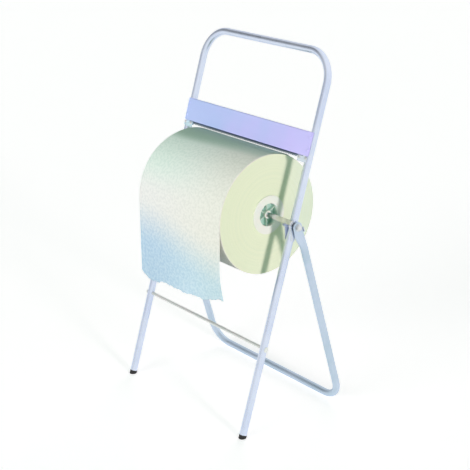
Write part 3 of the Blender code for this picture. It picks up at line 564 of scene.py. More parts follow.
def stadium(half_wide, half_thick):
    """Cross-section between round and flat: a half circle at each end of a straight run."""
    turn = np.linspace(0, 2 * np.pi, TUBE_SIDES, endpoint=False)
    wide = np.sin(turn)
    straight = np.maximum(half_wide - half_thick, 0)[:, None]
    push = np.where(np.abs(wide) < ROUNDING, 0, np.sign(wide)) * straight
    return half_thick[:, None] * np.cos(turn), push + np.minimum(half_wide, half_thick)[:, None] * wide


def pressed_end(side):
    """A rear leg's end: round below, eased to a flat strip, its tip a half circle."""
    part = np.linspace(0, 1, PRESS_STEPS + 1)[1:]
    swing = np.linspace(0, TIP_SWEEP, TIP_STEPS + 1)
    half = PRESSED_WIDTH / 2
    height = np.concatenate([-PRESSED_LENGTH - PRESS_RUN * (1 - part), half * np.sin(swing)])
    share = np.concatenate([ease(part), np.ones(TIP_STEPS + 1)])
    wide = TUBE_R + (np.concatenate([np.full(PRESS_STEPS, half), half * np.cos(swing)]) - TUBE_R) * share
    thick = TUBE_R + (PRESSED_THICKNESS / 2 - TUBE_R) * share
    out, back = stadium(wide, thick)
    x = REAR_X + (PRESSED_X - REAR_X) * share
    return on_rear(side * (x[:, None] + out), back, height[:, None])


def rear_tube(look):
    """The folding tube: a U swept along the floor, each leg's top pressed flat for its bolt."""
    start = -PRESSED_LENGTH - PRESS_RUN
    across, down, head_x, head_down, inside = u_way(REAR_X, start, -REAR_LENGTH, REAR_BEND)
    turn = np.linspace(0, 2 * np.pi, TUBE_SIDES, endpoint=False)
    oval = TUBE_R * (1 - BEND_OVAL * inside)
    out = oval[:, None] * np.cos(turn)
    x = across[:, None] + out * (np.abs(head_down) * np.sign(across))[:, None]
    z = down[:, None] - out * head_x[:, None]
    body = on_rear(x, TUBE_R * np.broadcast_to(np.sin(turn), x.shape), z)
    points = np.concatenate([pressed_end(-1)[::-1], body, pressed_end(1)])
    along = path_length(points.mean(axis=1))
    caps = [np.broadcast_to(points[end].mean(axis=0), (1, TUBE_SIDES, 3)) for end in (0, -1)]
    shell = surface(
        np.concatenate([caps[0], points, caps[1]]), np.concatenate([[0], along, along[-1:]]),
        turn * TUBE_R, round_columns=True,
    )
    tube = piece("rear_tube_bent", [shell], [look])
    tools = []
    for x in (-PRESSED_X, PRESSED_X):
        tools.append(drill(on_rear(x, 0, 0), ALONG_X, PIVOT_BOLT_R + GAP, 2 * PRESSED_THICKNESS))
    return stands_for(cut(tube, tools), "rear_frame_tube")


def foot_cap(side, word, look):
    """A moulded cap: turned wall with a soft rim, its foot cut level with the floor."""
    plug_r = TUBE_R - TUBE_WALL - GAP
    top = CAP_HEIGHT + CAP_PLUG_LENGTH
    profile = rounded([
        (0, 0), (CAP_R, 0), (CAP_R, CAP_HEIGHT), (plug_r, CAP_HEIGHT), (plug_r, top), (0, top),
    ], (0, CAP_FOOT_EDGE, CAP_TOP_EDGE, CAP_NECK_EDGE, CAP_PLUG_EDGE, 0), steps=CAP_EDGE_STEPS)
    turn = np.linspace(0, 2 * np.pi, CAP_SEGMENTS, endpoint=False)
    ahead = profile[:, 0, None] * np.cos(turn)
    lift = (1 - np.clip(profile[:, 1, None] / CAP_HEIGHT, 0, 1)) * -ahead * math.tan(LEAN)
    points = on_front(side * FOOT_X + profile[:, 0, None] * np.sin(turn), ahead, profile[:, 1, None] + lift)
    shell = surface(points, path_length(profile), turn * CAP_R, round_columns=True)
    return stands_for(piece("foot_cap_moulded_" + word, [shell], [look]), "foot_cap_" + word)


def dome(radius, rise, seat, steps=10):
    """Half profile of a low round head, from its rim to its crown."""
    turn = np.linspace(0, np.pi / 2, steps + 1)
    return [(radius * math.cos(t), seat + rise * math.sin(t)) for t in turn]


def crossbar(look):
    """The rod between the front legs: one turned profile with a peened head at each end."""
    head = FOOT_X + TUBE_R + GAP
    upper = [(CROSSBAR_R, head)] + dome(CROSSBAR_HEAD_R, CROSSBAR_HEAD_RISE, head)
    profile = [(radius, -height) for radius, height in reversed(upper)] + upper
    shell = turned(profile, CROSSBAR_SEGMENTS, on_front(0, 0, CROSSBAR_HEIGHT), ALONG_X)
    return stands_for(piece("crossbar_rod_turned", [shell], [look]), "crossbar_rod")


def axle_rod(look):
    """The loose axle: drawn rod with a chamfer and a small centre hole in each end."""
    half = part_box("axle_rod")[1].x
    end = [
        (AXLE_R, half - AXLE_CHAMFER), (AXLE_R - AXLE_CHAMFER, half),
        (AXLE_CENTRE_R, half), (0, half - AXLE_CENTRE_R),
    ]
    profile = [(radius, -height) for radius, height in reversed(end)] + end
    shell = turned(rounded(profile, AXLE_EDGE, AXLE_EDGE_STEPS), AXLE_SEGMENTS, AXLE, ALONG_X)
    return stands_for(piece("axle_rod_turned", [shell], [look]), "axle_rod")


def paper_roll(wrap, layers):
    """The wound paper: end faces rise and fall a little from layer to layer, edges pressed soft."""
    inner = CORE_R + CORE_WALL + GAP
    radius = np.linspace(inner, ROLL_R - ROLL_EDGE, ROLL_LAYER_ROWS)
    draw = np.random.default_rng(ROLL_SEED)
    rough = draw.normal(size=ROLL_LAYER_ROWS + ROLL_COARSE_ROWS - 1)
    coarse = np.convolve(rough, np.ones(ROLL_COARSE_ROWS) / ROLL_COARSE_ROWS, mode="valid")
    fine = draw.normal(size=ROLL_LAYER_ROWS)
    uneven = ROLL_COARSE_SHARE * np.tanh(ROLL_COARSE_GAIN * coarse) + ROLL_FINE_SHARE * np.tanh(fine)
    relief = ROLL_RELIEF * (1 + uneven)
    relief[0] = 0.0
    faces = []
    for side in (-1, 1):
        face = np.stack([radius, side * (ROLL_X - relief)], axis=-1)
        faces.append({**turned(face, ROLL_SEGMENTS, AXLE, ALONG_X), "look": 1})
    swing = np.linspace(0, np.pi / 2, ROLL_EDGE_STEPS + 1)
    rim = np.stack([ROLL_R - ROLL_EDGE * (1 - np.sin(swing)), ROLL_X - ROLL_EDGE * (1 - np.cos(swing))], -1)
    rim[0, 1] = ROLL_X - relief[-1]
    outside = np.concatenate([rim, (rim * (1, -1))[::-1]])
    faces.append(turned(outside, ROLL_SEGMENTS, AXLE, ALONG_X))
    faces.append(turned([(inner, -ROLL_X), (inner, ROLL_X)], ROLL_SEGMENTS, AXLE, ALONG_X))
    return stands_for(piece("paper_roll_wound", faces, [wrap, layers], weld=ROLL_WELD), "paper_roll")


def cardboard_core(look):
    """The wound core: a plain turned tube, a little shorter than the roll."""
    half = ROLL_X - CORE_RECESS
    outer = CORE_R + CORE_WALL
    profile = [(outer, -half), (outer, half), (CORE_R, half), (CORE_R, -half), (outer, -half)]
    shell = turned(profile, CORE_SEGMENTS, AXLE, ALONG_X)
    return stands_for(piece("cardboard_core_wound", [shell], [look]), "cardboard_core")


def bush_columns(radius):
    """Angles round a bush, drawn in to the two walls of each rib, which keep one thickness."""
    wall = BUSH_RIB / 2 + BUSH_RIB_EDGE * np.array([-1, 0, 1])
    near = np.arcsin(np.concatenate([-wall[::-1], [0], wall]) / radius[:, None])
    gap = 2 * np.pi / BUSH_RIBS - (near[:, -1:] - near[:, :1])
    far = near[:, -1:] + gap * np.linspace(0, 1, BUSH_GAP_COLUMNS + 2)[1:-1]
    one = np.concatenate([near, far], axis=1)
    return np.concatenate([one + 2 * np.pi * rib / BUSH_RIBS for rib in range(BUSH_RIBS)], axis=1)


def core_bush(side, word, look):
    """The moulded bush: a turned profile whose floor is raised where each rib stands on it."""
    hub_r = AXLE_R + GAP
    hub_outer = hub_r + BUSH_HUB_WALL
    skirt_r = CORE_R - GAP
    skirt_inner = skirt_r - BUSH_WALL
    disc_low = -BUSH_DISC_DEPTH - BUSH_DISC
    front = rounded([
        (skirt_r, 0), (BUSH_FLANGE_R, 0), (BUSH_FLANGE_R, BUSH_FLANGE), (skirt_inner, BUSH_FLANGE),
        (skirt_inner, -BUSH_DISC_DEPTH),
    ], (0, BUSH_EDGE / 2, BUSH_EDGE, BUSH_EDGE, 0))
    floor_r = np.linspace(skirt_inner, hub_outer, BUSH_FLOOR_ROWS)
    bush_floor = np.stack([floor_r, np.full(BUSH_FLOOR_ROWS, -BUSH_DISC_DEPTH)], axis=-1)
    back = rounded([
        (hub_outer, -BUSH_DISC_DEPTH), (hub_outer, 0), (hub_r, 0), (hub_r, -BUSH_LENGTH),
        (hub_outer, -BUSH_LENGTH), (hub_outer, disc_low), (skirt_inner, disc_low),
        (skirt_inner, -BUSH_LENGTH), (skirt_r, -BUSH_LENGTH), (skirt_r, 0),
    ], (
        0, BUSH_EDGE / 2, BUSH_EDGE / 2, BUSH_END_EDGE,
        BUSH_END_EDGE, BUSH_CORNER, BUSH_CORNER,
        BUSH_END_EDGE, BUSH_EDGE, 0,
    ))
    profile = np.concatenate([front, bush_floor, back])
    on_floor = np.zeros(len(profile))
    on_floor[len(front):len(front) + BUSH_FLOOR_ROWS] = 1
    turn = bush_columns(np.maximum(profile[:, 0], hub_outer))
    pitch = 2 * np.pi / BUSH_RIBS
    radius = profile[:, :1]
    from_rib = radius * np.abs(np.sin((turn + pitch / 2) % pitch - pitch / 2))
    rib = ease((BUSH_RIB / 2 + BUSH_RIB_EDGE / 2 - from_rib) / BUSH_RIB_EDGE)
    height = profile[:, 1:] + on_floor[:, None] * rib * BUSH_RIB_HEIGHT
    points = np.stack([
        side * (ROLL_X + GAP + height), AXLE[1] + radius * np.sin(turn), AXLE[2] + radius * np.cos(turn),
    ], axis=-1)
    around = np.linspace(0, 2 * np.pi, turn.shape[1], endpoint=False) * CORE_R
    shell = surface(points, path_length(profile), around, round_columns=True)
    return stands_for(piece("core_bush_moulded_" + word, [shell], [look]), "core_bush_" + word)


def torn_edge(across):
    """How far the torn edge hangs past the sheet's usual length: a curve through listed values, with finer
    frays.
    """
    draw = np.random.default_rng(SHEET_SEED)
    torn = smooth_through(across, EDGE_AT_SHARES, EDGE_SHARES) * SHEET_TORN_DEPTH
    for reach, width in SHEET_FRAYS:
        rough = draw.normal(size=SHEET_COLUMNS + width - 1)
        torn = torn + reach * np.convolve(rough, np.ones(width) / math.sqrt(width), mode="valid")
    return torn


def hanging_sheet(look):
    """The loose paper: round the roll's top and front, then down to its torn edge.

    Its distance from the axle is the roll's radius and a small gap, pressed in at its start, with the crown
    over the top and the slack down the front added. The hanging part buckles in waves, and curls back at its
    low right corner.
    """
    across = np.linspace(0, 1, SHEET_COLUMNS)
    radius = ROLL_R + SHEET_GAP
    arc = (SHEET_START + np.pi / 2) * radius
    way = np.linspace(0, 1, SHEET_ROWS)
    drop = SHEET_DROP + torn_edge(across)
    gone = way[:, None] * (arc + drop)
    turn = np.minimum(gone / radius, SHEET_START + np.pi / 2) - SHEET_START
    down = np.maximum(gone - arc, 0)
    share = down / SHEET_DROP
    begun = ease((turn + SHEET_START) / SHEET_TAPER)
    pressed = SHEET_GAP * (1 - begun) * SHEET_PRESSED_SHARE
    loose = (1 - across) ** SHEET_LOOSE_POWER
    slack = SHEET_SLACK * loose * ease((turn - SHEET_SLACK_FROM) / (SHEET_SLACK_FULL - SHEET_SLACK_FROM))
    crown = SHEET_CROWN * (1 + (SHEET_CROWN_RIGHT_SHARE - 1) * across) * begun
    crown = crown * (1 - ease((turn - SHEET_CROWN_FROM) / (SHEET_CROWN_END - SHEET_CROWN_FROM)))
    reach = radius - pressed + slack + crown
    right = np.maximum(across - SHEET_CURL_FROM_SHARE, 0) / (1 - SHEET_CURL_FROM_SHARE)
    low = np.maximum(share - SHEET_CURL_LOW_SHARE, 0) / (1 - SHEET_CURL_LOW_SHARE)
    curl = SHEET_CURL * right * low ** 2
    wave = 2 * np.pi * (SHEET_BUCKLE_WAVES * across + SHEET_BUCKLE_SHIFT) + SHEET_BUCKLE_TWIST * share
    buckle = SHEET_BUCKLE * share ** SHEET_BUCKLE_POWER * (1 + np.sin(wave))
    y = AXLE[1] - reach * np.sin(turn) + curl + buckle - SHEET_SWING * loose * share
    z = AXLE[2] + reach * np.cos(turn) - down
    points = np.stack([np.broadcast_to(2 * ROLL_X * (across - 0.5), y.shape), y, z], axis=-1)
    flat_length = float(np.linalg.norm(np.diff(points, axis=0), axis=2).sum(axis=0).mean())
    grid = surface(points, way * flat_length, across * 2 * ROLL_X)
    sheet = piece("loose_paper", [grid], [look])
    wall = sheet.modifiers.new("thickness", "SOLIDIFY")
    wall.thickness = SHEET_THICKNESS
    wall.offset = 1.0
    taper = sheet.vertex_groups.new(name="wall")
    wall_share = SHEET_START_SHARE + (1 - SHEET_START_SHARE) * begun[:, 0]
    for row, part in enumerate(wall_share):
        taper.add(list(range(row * SHEET_COLUMNS, (row + 1) * SHEET_COLUMNS)), float(part), "REPLACE")
    wall.vertex_group = "wall"
    stands_for(sheet, "hanging_sheet")
    return sheet


def hexagon_nut(name, node, origin, axis, flats, height, look, crown=0.0, bore=0.0):
    """A nut: the hexagon's radius at each angle, cut down by a cone at its ends, or domed over."""
    side, other = square_to(axis)
    turn = np.linspace(0, 2 * np.pi, NUT_SEGMENTS, endpoint=False)
    hexagon = flats / 2 / np.cos((turn + np.pi / 6) % (np.pi / 3) - np.pi / 6)
    corner = flats / 2 / math.cos(math.pi / 6)
    up = height * np.linspace(0, 1, NUT_LEVELS)
    near_end = np.maximum(NUT_CHAMFER_SHARE * flats - np.minimum(up, height - up), 0)
    wall = np.minimum(hexagon, (corner - near_end * NUT_CHAMFER_SLOPE)[:, None])
    rows = [(np.full(NUT_SEGMENTS, bore), 0.0)] + list(zip(wall, up))
    if crown:
        top = dome(flats / 2 - PIVOT_NUT_SHOULDER, crown, height, PIVOT_NUT_DOME_STEPS)
        rows += [(np.full(NUT_SEGMENTS, radius), z) for radius, z in top]
    else:
        rows.append((np.full(NUT_SEGMENTS, bore), height))
    points = np.stack([
        origin + radius[:, None] * (np.cos(turn)[:, None] * side + np.sin(turn)[:, None] * other) + z * axis
        for radius, z in rows
    ])
    shell = surface(points, path_length(points[:, 0]), turn * corner, round_rows=bore > 0, round_columns=True)
    return stands_for(piece(name, [shell], [look], sharp=NUT_SHARP_ANGLE), node)


def rivet(node, x, height, look):
    """A rivet through plate or bracket into the tube: a short turned shank under a low domed head."""
    profile = [
        (0, -RIVET_LENGTH), (RIVET_R - RIVET_EDGE, -RIVET_LENGTH),
        (RIVET_R, RIVET_EDGE - RIVET_LENGTH), (RIVET_R, 0),
    ] + dome(RIVET_HEAD_R, RIVET_HEAD_RISE, 0)
    seat = TUBE_R + 2 * GAP + PLATE_SHEET
    shell = turned(profile, RIVET_SEGMENTS, on_front(x, seat, height), AHEAD_FRONT)
    return stands_for(piece(node + "_headed", [shell], [look]), node)


def blade_nut(node, low, high, look):
    """A small nut on a stud behind the plate."""
    middle = (low + high) / 2
    height = (middle - on_front(0, 0, 0)) @ UP_FRONT
    ahead = (middle - on_front(0, 0, 0)) @ AHEAD_FRONT
    origin = on_front(middle[0], ahead + NUT_HEIGHT / 2, height)
    return hexagon_nut(
        node + "_cut", node, origin, -AHEAD_FRONT, NUT_FLATS, NUT_HEIGHT, look, bore=NUT_BORE_R,
    )


def pivot_ring(node, low, high, look):
    """A washer or spacer on a pivot bolt: a turned ring with soft edges."""
    inner, outer = PIVOT_BOLT_R + GAP, (high[2] - low[2]) / 2
    half = (high[0] - low[0]) / 2
    ring = rounded([
        (inner, -half), (outer, -half), (outer, half), (inner, half),
    ], RING_EDGE, steps=RING_EDGE_STEPS, closed=True)
    shell = turned(ring, RING_SEGMENTS, ((low[0] + high[0]) / 2, PIVOT[1], PIVOT[2]), ALONG_X)
    return stands_for(piece(node + "_ring", [shell], [look]), node)


def pivot_nut(node, low, high, look):
    """The domed nut on a pivot bolt's outer end."""
    side = math.copysign(1, low[0] + high[0])
    origin = np.array([side * min(abs(low[0]), abs(high[0])), PIVOT[1], PIVOT[2]])
    return hexagon_nut(
        node + "_domed", node, origin, side * ALONG_X, PIVOT_NUT_FLATS, PIVOT_NUT_HEIGHT, look,
        crown=PIVOT_NUT_DOME,
    )


def pivot_bolt(node, low, high, look):
    """A pivot bolt: a domed head on the inner side, then a shank with a chamfered end."""
    side = math.copysign(1, low[0] + high[0])
    start, end = sorted((abs(low[0]), abs(high[0])))
    seat = start + PIVOT_HEAD_HEIGHT
    length = end - seat
    head = dome(PIVOT_HEAD_R, PIVOT_HEAD_HEIGHT - PIVOT_HEAD_WALL, PIVOT_HEAD_WALL)
    profile = [(radius, -z) for radius, z in reversed(head)] + [
        (PIVOT_HEAD_R, 0), (PIVOT_BOLT_R, 0), (PIVOT_BOLT_R, length - PIVOT_BOLT_CHAMFER),
        (PIVOT_BOLT_R - PIVOT_BOLT_CHAMFER, length), (0, length),
    ]
    shell = turned(profile, PIVOT_SEGMENTS, (side * seat, PIVOT[1], PIVOT[2]), side * ALONG_X)
    return stands_for(piece(node + "_headed", [shell], [look]), node)


def fasteners(look, spacer_look, rivet_look):
    """Rivets, nuts, washers, spacers and pivot bolts, each where its solid is."""
    for node, x, height in rivet_places():
        rivet(node, x, height, rivet_look if node.startswith("plate") else look)
    makers = {
        "blade_nut": (blade_nut, look), "pivot_spacer": (pivot_ring, spacer_look),
        "pivot_washer": (pivot_ring, look), "pivot_nut": (pivot_nut, look), "pivot_bolt": (pivot_bolt, look),
    }
    for node in sorted(frame["nodes"]):
        make, finish = makers.get(node.rpartition("_")[0], (None, None))
        if make:
            low, high = (np.array(corner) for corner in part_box(node))
            make(node, low, high, finish)


def dressed(node, look, width):
    """A sheet-metal piece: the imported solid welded, its flat facets joined and its edges broken."""
    mesh = frame["nodes"][node].data.copy()
    mesh.name = node + "_edged"
    tidy = bmesh.new()
    tidy.from_mesh(mesh)
    bmesh.ops.remove_doubles(tidy, verts=tidy.verts, dist=SHEET_METAL_WELD)
    bmesh.ops.dissolve_limit(tidy, angle_limit=FLAT_ANGLE, verts=tidy.verts, edges=tidy.edges)
    tidy.to_mesh(mesh)
    tidy.free()
    mesh.materials.clear()
    made = shown(node + "_edged", mesh, [look], SHARP_ANGLE)
    edge = made.modifiers.new("edges", "BEVEL")
    edge.width = width
    edge.segments = 2
    edge.limit_method = "ANGLE"
    edge.angle_limit = BROKEN_EDGE_ANGLE
    edge.harden_normals = True
    return stands_for(made, node)


def plug(tree, socket, value):
    """Give a socket a plain value or another node's output."""
    if isinstance(value, bpy.types.NodeSocket):
        tree.links.new(value, socket)
    else:
        socket.default_value = value


def add(tree, kind, settings=None, **inputs):
    """Add a node; each input is a plain value or another node's output."""
    made = tree.nodes.new(kind)
    for key, value in (settings or {}).items():
        setattr(made, key, value)
    for key, value in inputs.items():
        plug(tree, made.inputs[key.replace("_", " ")], value)
    return made


def calc(tree, operation, *values):
    """A Math node's output, from plain values or other outputs."""
    made = add(tree, "ShaderNodeMath", {"operation": operation})
    for socket, value in zip(made.inputs, values):
        plug(tree, socket, value)
    return made.outputs[0]


def vector_calc(tree, operation, *values):
    """A Vector Math node's outputs, from plain triples or other outputs."""
    made = add(tree, "ShaderNodeVectorMath", {"operation": operation})
    for socket, value in zip(made.inputs, values):
        plug(tree, socket, value)
    return made.outputs


def weighed(tree, *parts):
    """The sum of some values, each times its share."""
    total = calc(tree, "MULTIPLY", *parts[0])
    for value, share in parts[1:]:
        total = calc(tree, "MULTIPLY_ADD", value, share, total)
    return total


def spread(tree, value, low, high, to_low=0.0, to_high=1.0):
    """Map a value from one range to another by a smooth step, clamped."""
    made = add(
        tree, "ShaderNodeMapRange", {"interpolation_type": "SMOOTHSTEP"},
        Value=value, From_Min=low, From_Max=high, To_Min=to_low, To_Max=to_high,
    )
    return made.outputs[0]


def blend(tree, factor, one, two, way="MIX"):
    """Mix two colours, each a plain colour or an output; the node's colours are its inputs 6 and 7."""
    made = add(tree, "ShaderNodeMix", {"data_type": "RGBA", "blend_type": way})
    plug(tree, made.inputs[0], factor)
    for index, colour in ((6, one), (7, two)):
        plug(tree, made.inputs[index], (*colour, 1.0) if isinstance(colour, tuple) else colour)
    return made.outputs[2]


def noise(tree, place, scale, detail, roughness, stretch=None):
    """A noise value at a place, with the place stretched first if a factor is given."""
    if stretch:
        place = add(tree, "ShaderNodeMapping", Vector=place, Scale=stretch).outputs[0]
    made = add(tree, "ShaderNodeTexNoise", Vector=place, Scale=scale, Detail=detail, Roughness=roughness)
    return made.outputs[0]


def line_noise(tree, way, scale, detail, roughness):
    """A noise value that changes along one measure only."""
    made = add(
        tree, "ShaderNodeTexNoise", {"noise_dimensions": "1D"},
        W=way, Scale=scale, Detail=detail, Roughness=roughness,
    )
    return made.outputs[0]


def part_of(tree, vector, letter):
    """One of a vector's three parts."""
    return add(tree, "ShaderNodeSeparateXYZ", Vector=vector).outputs[letter]


def begin(name, metallic=0.0, roughness=0.5):
    """A new material and its tree, shader and coordinates."""
    made = bpy.data.materials.new(name)
    made.use_nodes = True
    tree = made.node_tree
    shader = tree.nodes["Principled BSDF"]
    shader.inputs["Metallic"].default_value = metallic
    shader.inputs["Roughness"].default_value = roughness
    return made, tree, shader, tree.nodes.new("ShaderNodeTexCoord").outputs


def finish_with(tree, shader, colour, roughness, height, bump, strength):
    """Wire a colour, a roughness if there is one, and a relief, bump metres high, into the shader."""
    plug(tree, shader.inputs["Base Color"], colour)
    if roughness is not None:
        plug(tree, shader.inputs["Roughness"], roughness)
    relief = add(tree, "ShaderNodeBump", Height=height, Distance=bump, Strength=strength)
    plug(tree, shader.inputs["Normal"], relief.outputs[0])


def rough_from(tree, fine, low, high, patches, start, more):
    """Roughness from a fine pattern, between low and high, with more in the patches of a broad one."""
    base = spread(tree, fine, *NOISE_REACH, low, high)
    return calc(tree, "ADD", base, spread(tree, patches, start, PATCH_FULL, 0.0, more))


def satin_chrome(name, dull, clear, satin=0.0):
    """Satin plate on drawn tube: long faint streaks, a few smudges, slightly warmer and cooler spots."""
    made, tree, shader, place = begin(name, metallic=1.0)
    streak = noise(tree, place["UV"], 1.0, 3.0, 0.6, stretch=(1400.0, 14.0, 1.0))
    smudge = noise(tree, place["Object"], 16.0, 3.0, 0.55)
    colour = blend(tree, spread(tree, smudge, *NOISE_REACH), dull, clear)
    colour = blend(tree, spread(tree, streak, 0.35, 0.65, 0.0, 0.22), colour, (0.82, 0.86, 0.93))
    rough = rough_from(tree, streak, 0.24 + satin, 0.33 + satin, smudge, 0.4, 0.05)
    finish_with(tree, shader, colour, rough, streak, bump=0.00002, strength=0.5)
    return made


def sheet_chrome():
    """Satin plate on bent sheet: fine even grain with soft smudges."""
    made, tree, shader, place = begin("sheet_chrome", metallic=1.0)
    grain = noise(tree, place["Object"], 900.0, 2.0, 0.5, stretch=(1.0, 1.0, 0.12))
    smudge = noise(tree, place["Object"], 40.0, 3.0, 0.6)
    colour = blend(tree, spread(tree, smudge, *NOISE_REACH), (0.66, 0.70, 0.80), (0.75, 0.79, 0.87))
    rough = rough_from(tree, grain, 0.24, 0.34, smudge, 0.4, 0.06)
    finish_with(tree, shader, colour, rough, grain, bump=0.00003, strength=0.4)
    return made


def bright_zinc():
    """Bright zinc plate: a slight spangle in its gloss and a faint drift of tone."""
    made, tree, shader, place = begin("bright_zinc", metallic=1.0)
    spangle = add(tree, "ShaderNodeTexVoronoi", Vector=place["Object"], Scale=700.0).outputs["Distance"]
    drift = noise(tree, place["Object"], 90.0, 3.0, 0.6)
    colour = blend(tree, spread(tree, drift, *NOISE_REACH), (0.70, 0.72, 0.73), (0.78, 0.80, 0.82))
    rough = weighed(tree, (spread(tree, drift, *NOISE_REACH, 0.24, 0.34), 1.0), (spangle, 0.05))
    finish_with(tree, shader, colour, rough, drift, bump=0.00004, strength=0.3)
    return made


def dull_rod():
    """The crossbar's thin plate: duller than the tubes, with long die lines and cloudy spots."""
    made, tree, shader, place = begin("dull_rod", metallic=1.0)
    lines = noise(tree, place["UV"], 1.0, 3.0, 0.6, stretch=(2000.0, 12.0, 1.0))
    cloud = noise(tree, place["Object"], 50.0, 4.0, 0.6)
    colour = blend(tree, spread(tree, cloud, 0.35, 0.65), (0.84, 0.88, 0.84), (0.92, 0.90, 0.88))
    rough = rough_from(tree, lines, 0.56, 0.66, cloud, 0.5, 0.06)
    finish_with(tree, shader, colour, rough, lines, bump=0.00003, strength=0.5)
    return made


def drawn_bar():
    """Bright drawn bar: long die lines and a few worn spots."""
    made, tree, shader, place = begin("drawn_bar", metallic=1.0)
    lines = noise(tree, place["UV"], 1.0, 3.0, 0.6, stretch=(2600.0, 9.0, 1.0))
    wear = noise(tree, place["Object"], 60.0, 4.0, 0.6)
    colour = blend(tree, spread(tree, wear, 0.35, 0.65), (0.60, 0.61, 0.62), (0.72, 0.72, 0.74))
    rough = rough_from(tree, lines, 0.16, 0.27, wear, 0.5, 0.08)
    finish_with(tree, shader, colour, rough, lines, bump=0.00003, strength=0.5)
    return made


def blade_steel():
    """Blued spring strip with rolled grain along X, ground bright from just above the teeth down; its dark
    blue is partly painted shade under the plate.
    """
    made, tree, shader, place = begin("blued_blade", metallic=1.0)
    grain = noise(tree, place["Object"], 1.0, 3.0, 0.6, stretch=(25.0, 1800.0, 1800.0))
    dull = noise(tree, place["Object"], 45.0, 3.0, 0.6)
    height = vector_calc(tree, "DOT_PRODUCT", place["Object"], UP_FRONT)["Value"]
    edge = BLADE_TIP + TOOTH_BAND + FOOT_Y * math.sin(LEAN)
    ground = spread(tree, height, edge - GROUND_BELOW, edge + GROUND_ABOVE, 1.0, 0.0)
    # The dark blue body is partly real blued steel and partly painted shade under the plate's lower edge
    blue = blend(tree, spread(tree, dull, *NOISE_REACH), (0.045, 0.085, 0.19), (0.08, 0.13, 0.25))
    bright = blend(tree, spread(tree, dull, *NOISE_REACH), (0.38, 0.48, 0.56), (0.50, 0.58, 0.65))
    rough = rough_from(tree, grain, 0.26, 0.38, dull, 0.5, 0.06)
    finish_with(tree, shader, blend(tree, ground, blue, bright), rough, grain, bump=0.00003, strength=0.5)
    return made


def stoved_paint(name, left, right):
    """Stoved paint: slight orange peel, a drift of tone from end to end and rubbed spots."""
    made, tree, shader, place = begin(name)
    peel = noise(tree, place["Object"], 420.0, 2.0, 0.5)
    drift = noise(tree, place["Object"], 9.0, 2.0, 0.5)
    rub = noise(tree, place["Object"], 120.0, 4.0, 0.65)
    uneven = calc(tree, "SUBTRACT", drift, 0.5)
    across = weighed(tree, (part_of(tree, place["Object"], "X"), 1.0), (uneven, 0.5))
    colour = blend(tree, spread(tree, across, -FOOT_X, FOOT_X), left, right)
    colour = blend(tree, spread(tree, rub, 0.62, 0.8, 0.0, 0.25), colour, (0.70, 0.72, 0.90))
    rough = rough_from(tree, peel, 0.34, 0.42, rub, 0.6, 0.08)
    shader.inputs["Coat Weight"].default_value = 0.15
    shader.inputs["Coat Roughness"].default_value = 0.25
    finish_with(tree, shader, colour, rough, peel, bump=0.00006, strength=0.35)
    return made


def black_plastic():
    """Matt black moulding: fine spark texture, dust in it and a scuffed foot."""
    made, tree, shader, place = begin("black_moulding")
    spark = noise(tree, place["Object"], 1500.0, 2.0, 0.5)
    dust = noise(tree, place["Object"], 260.0, 4.0, 0.7)
    near_floor = spread(tree, part_of(tree, place["Object"], "Z"), 0.0, SCUFF_HEIGHT, 1.0, 0.0)
    scuff = calc(tree, "MULTIPLY", near_floor, spread(tree, dust, 0.45, 0.7))
    dusty = spread(tree, dust, 0.5, 0.85, 0.0, 0.4)
    colour = blend(tree, dusty, (0.010, 0.010, 0.011), (0.045, 0.044, 0.042))
    colour = blend(tree, scuff, colour, (0.09, 0.088, 0.084))
    rough = spread(tree, spark, *NOISE_REACH, 0.48, 0.62)
    finish_with(tree, shader, colour, rough, spark, bump=0.00008, strength=0.4)
    return made


def paper_relief(tree, chart):
    """Height of the embossed paper: small round dimples over crepe wrinkles, fibre and broad pebbles."""
    dimple = add(
        tree, "ShaderNodeTexVoronoi", {"feature": "SMOOTH_F1"}, Vector=chart, Scale=330.0, Randomness=0.35,
    ).outputs["Distance"]
    crepe = noise(tree, chart, 1.0, 3.0, 0.6, stretch=(120.0, 420.0, 1.0))
    fibre = noise(tree, chart, 2600.0, 2.0, 0.6)
    pebble = noise(tree, chart, 150.0, 2.0, 0.5)
    return weighed(tree, (dimple, 0.8), (crepe, 0.35), (fibre, 0.12), (pebble, 0.9)), pebble, fibre


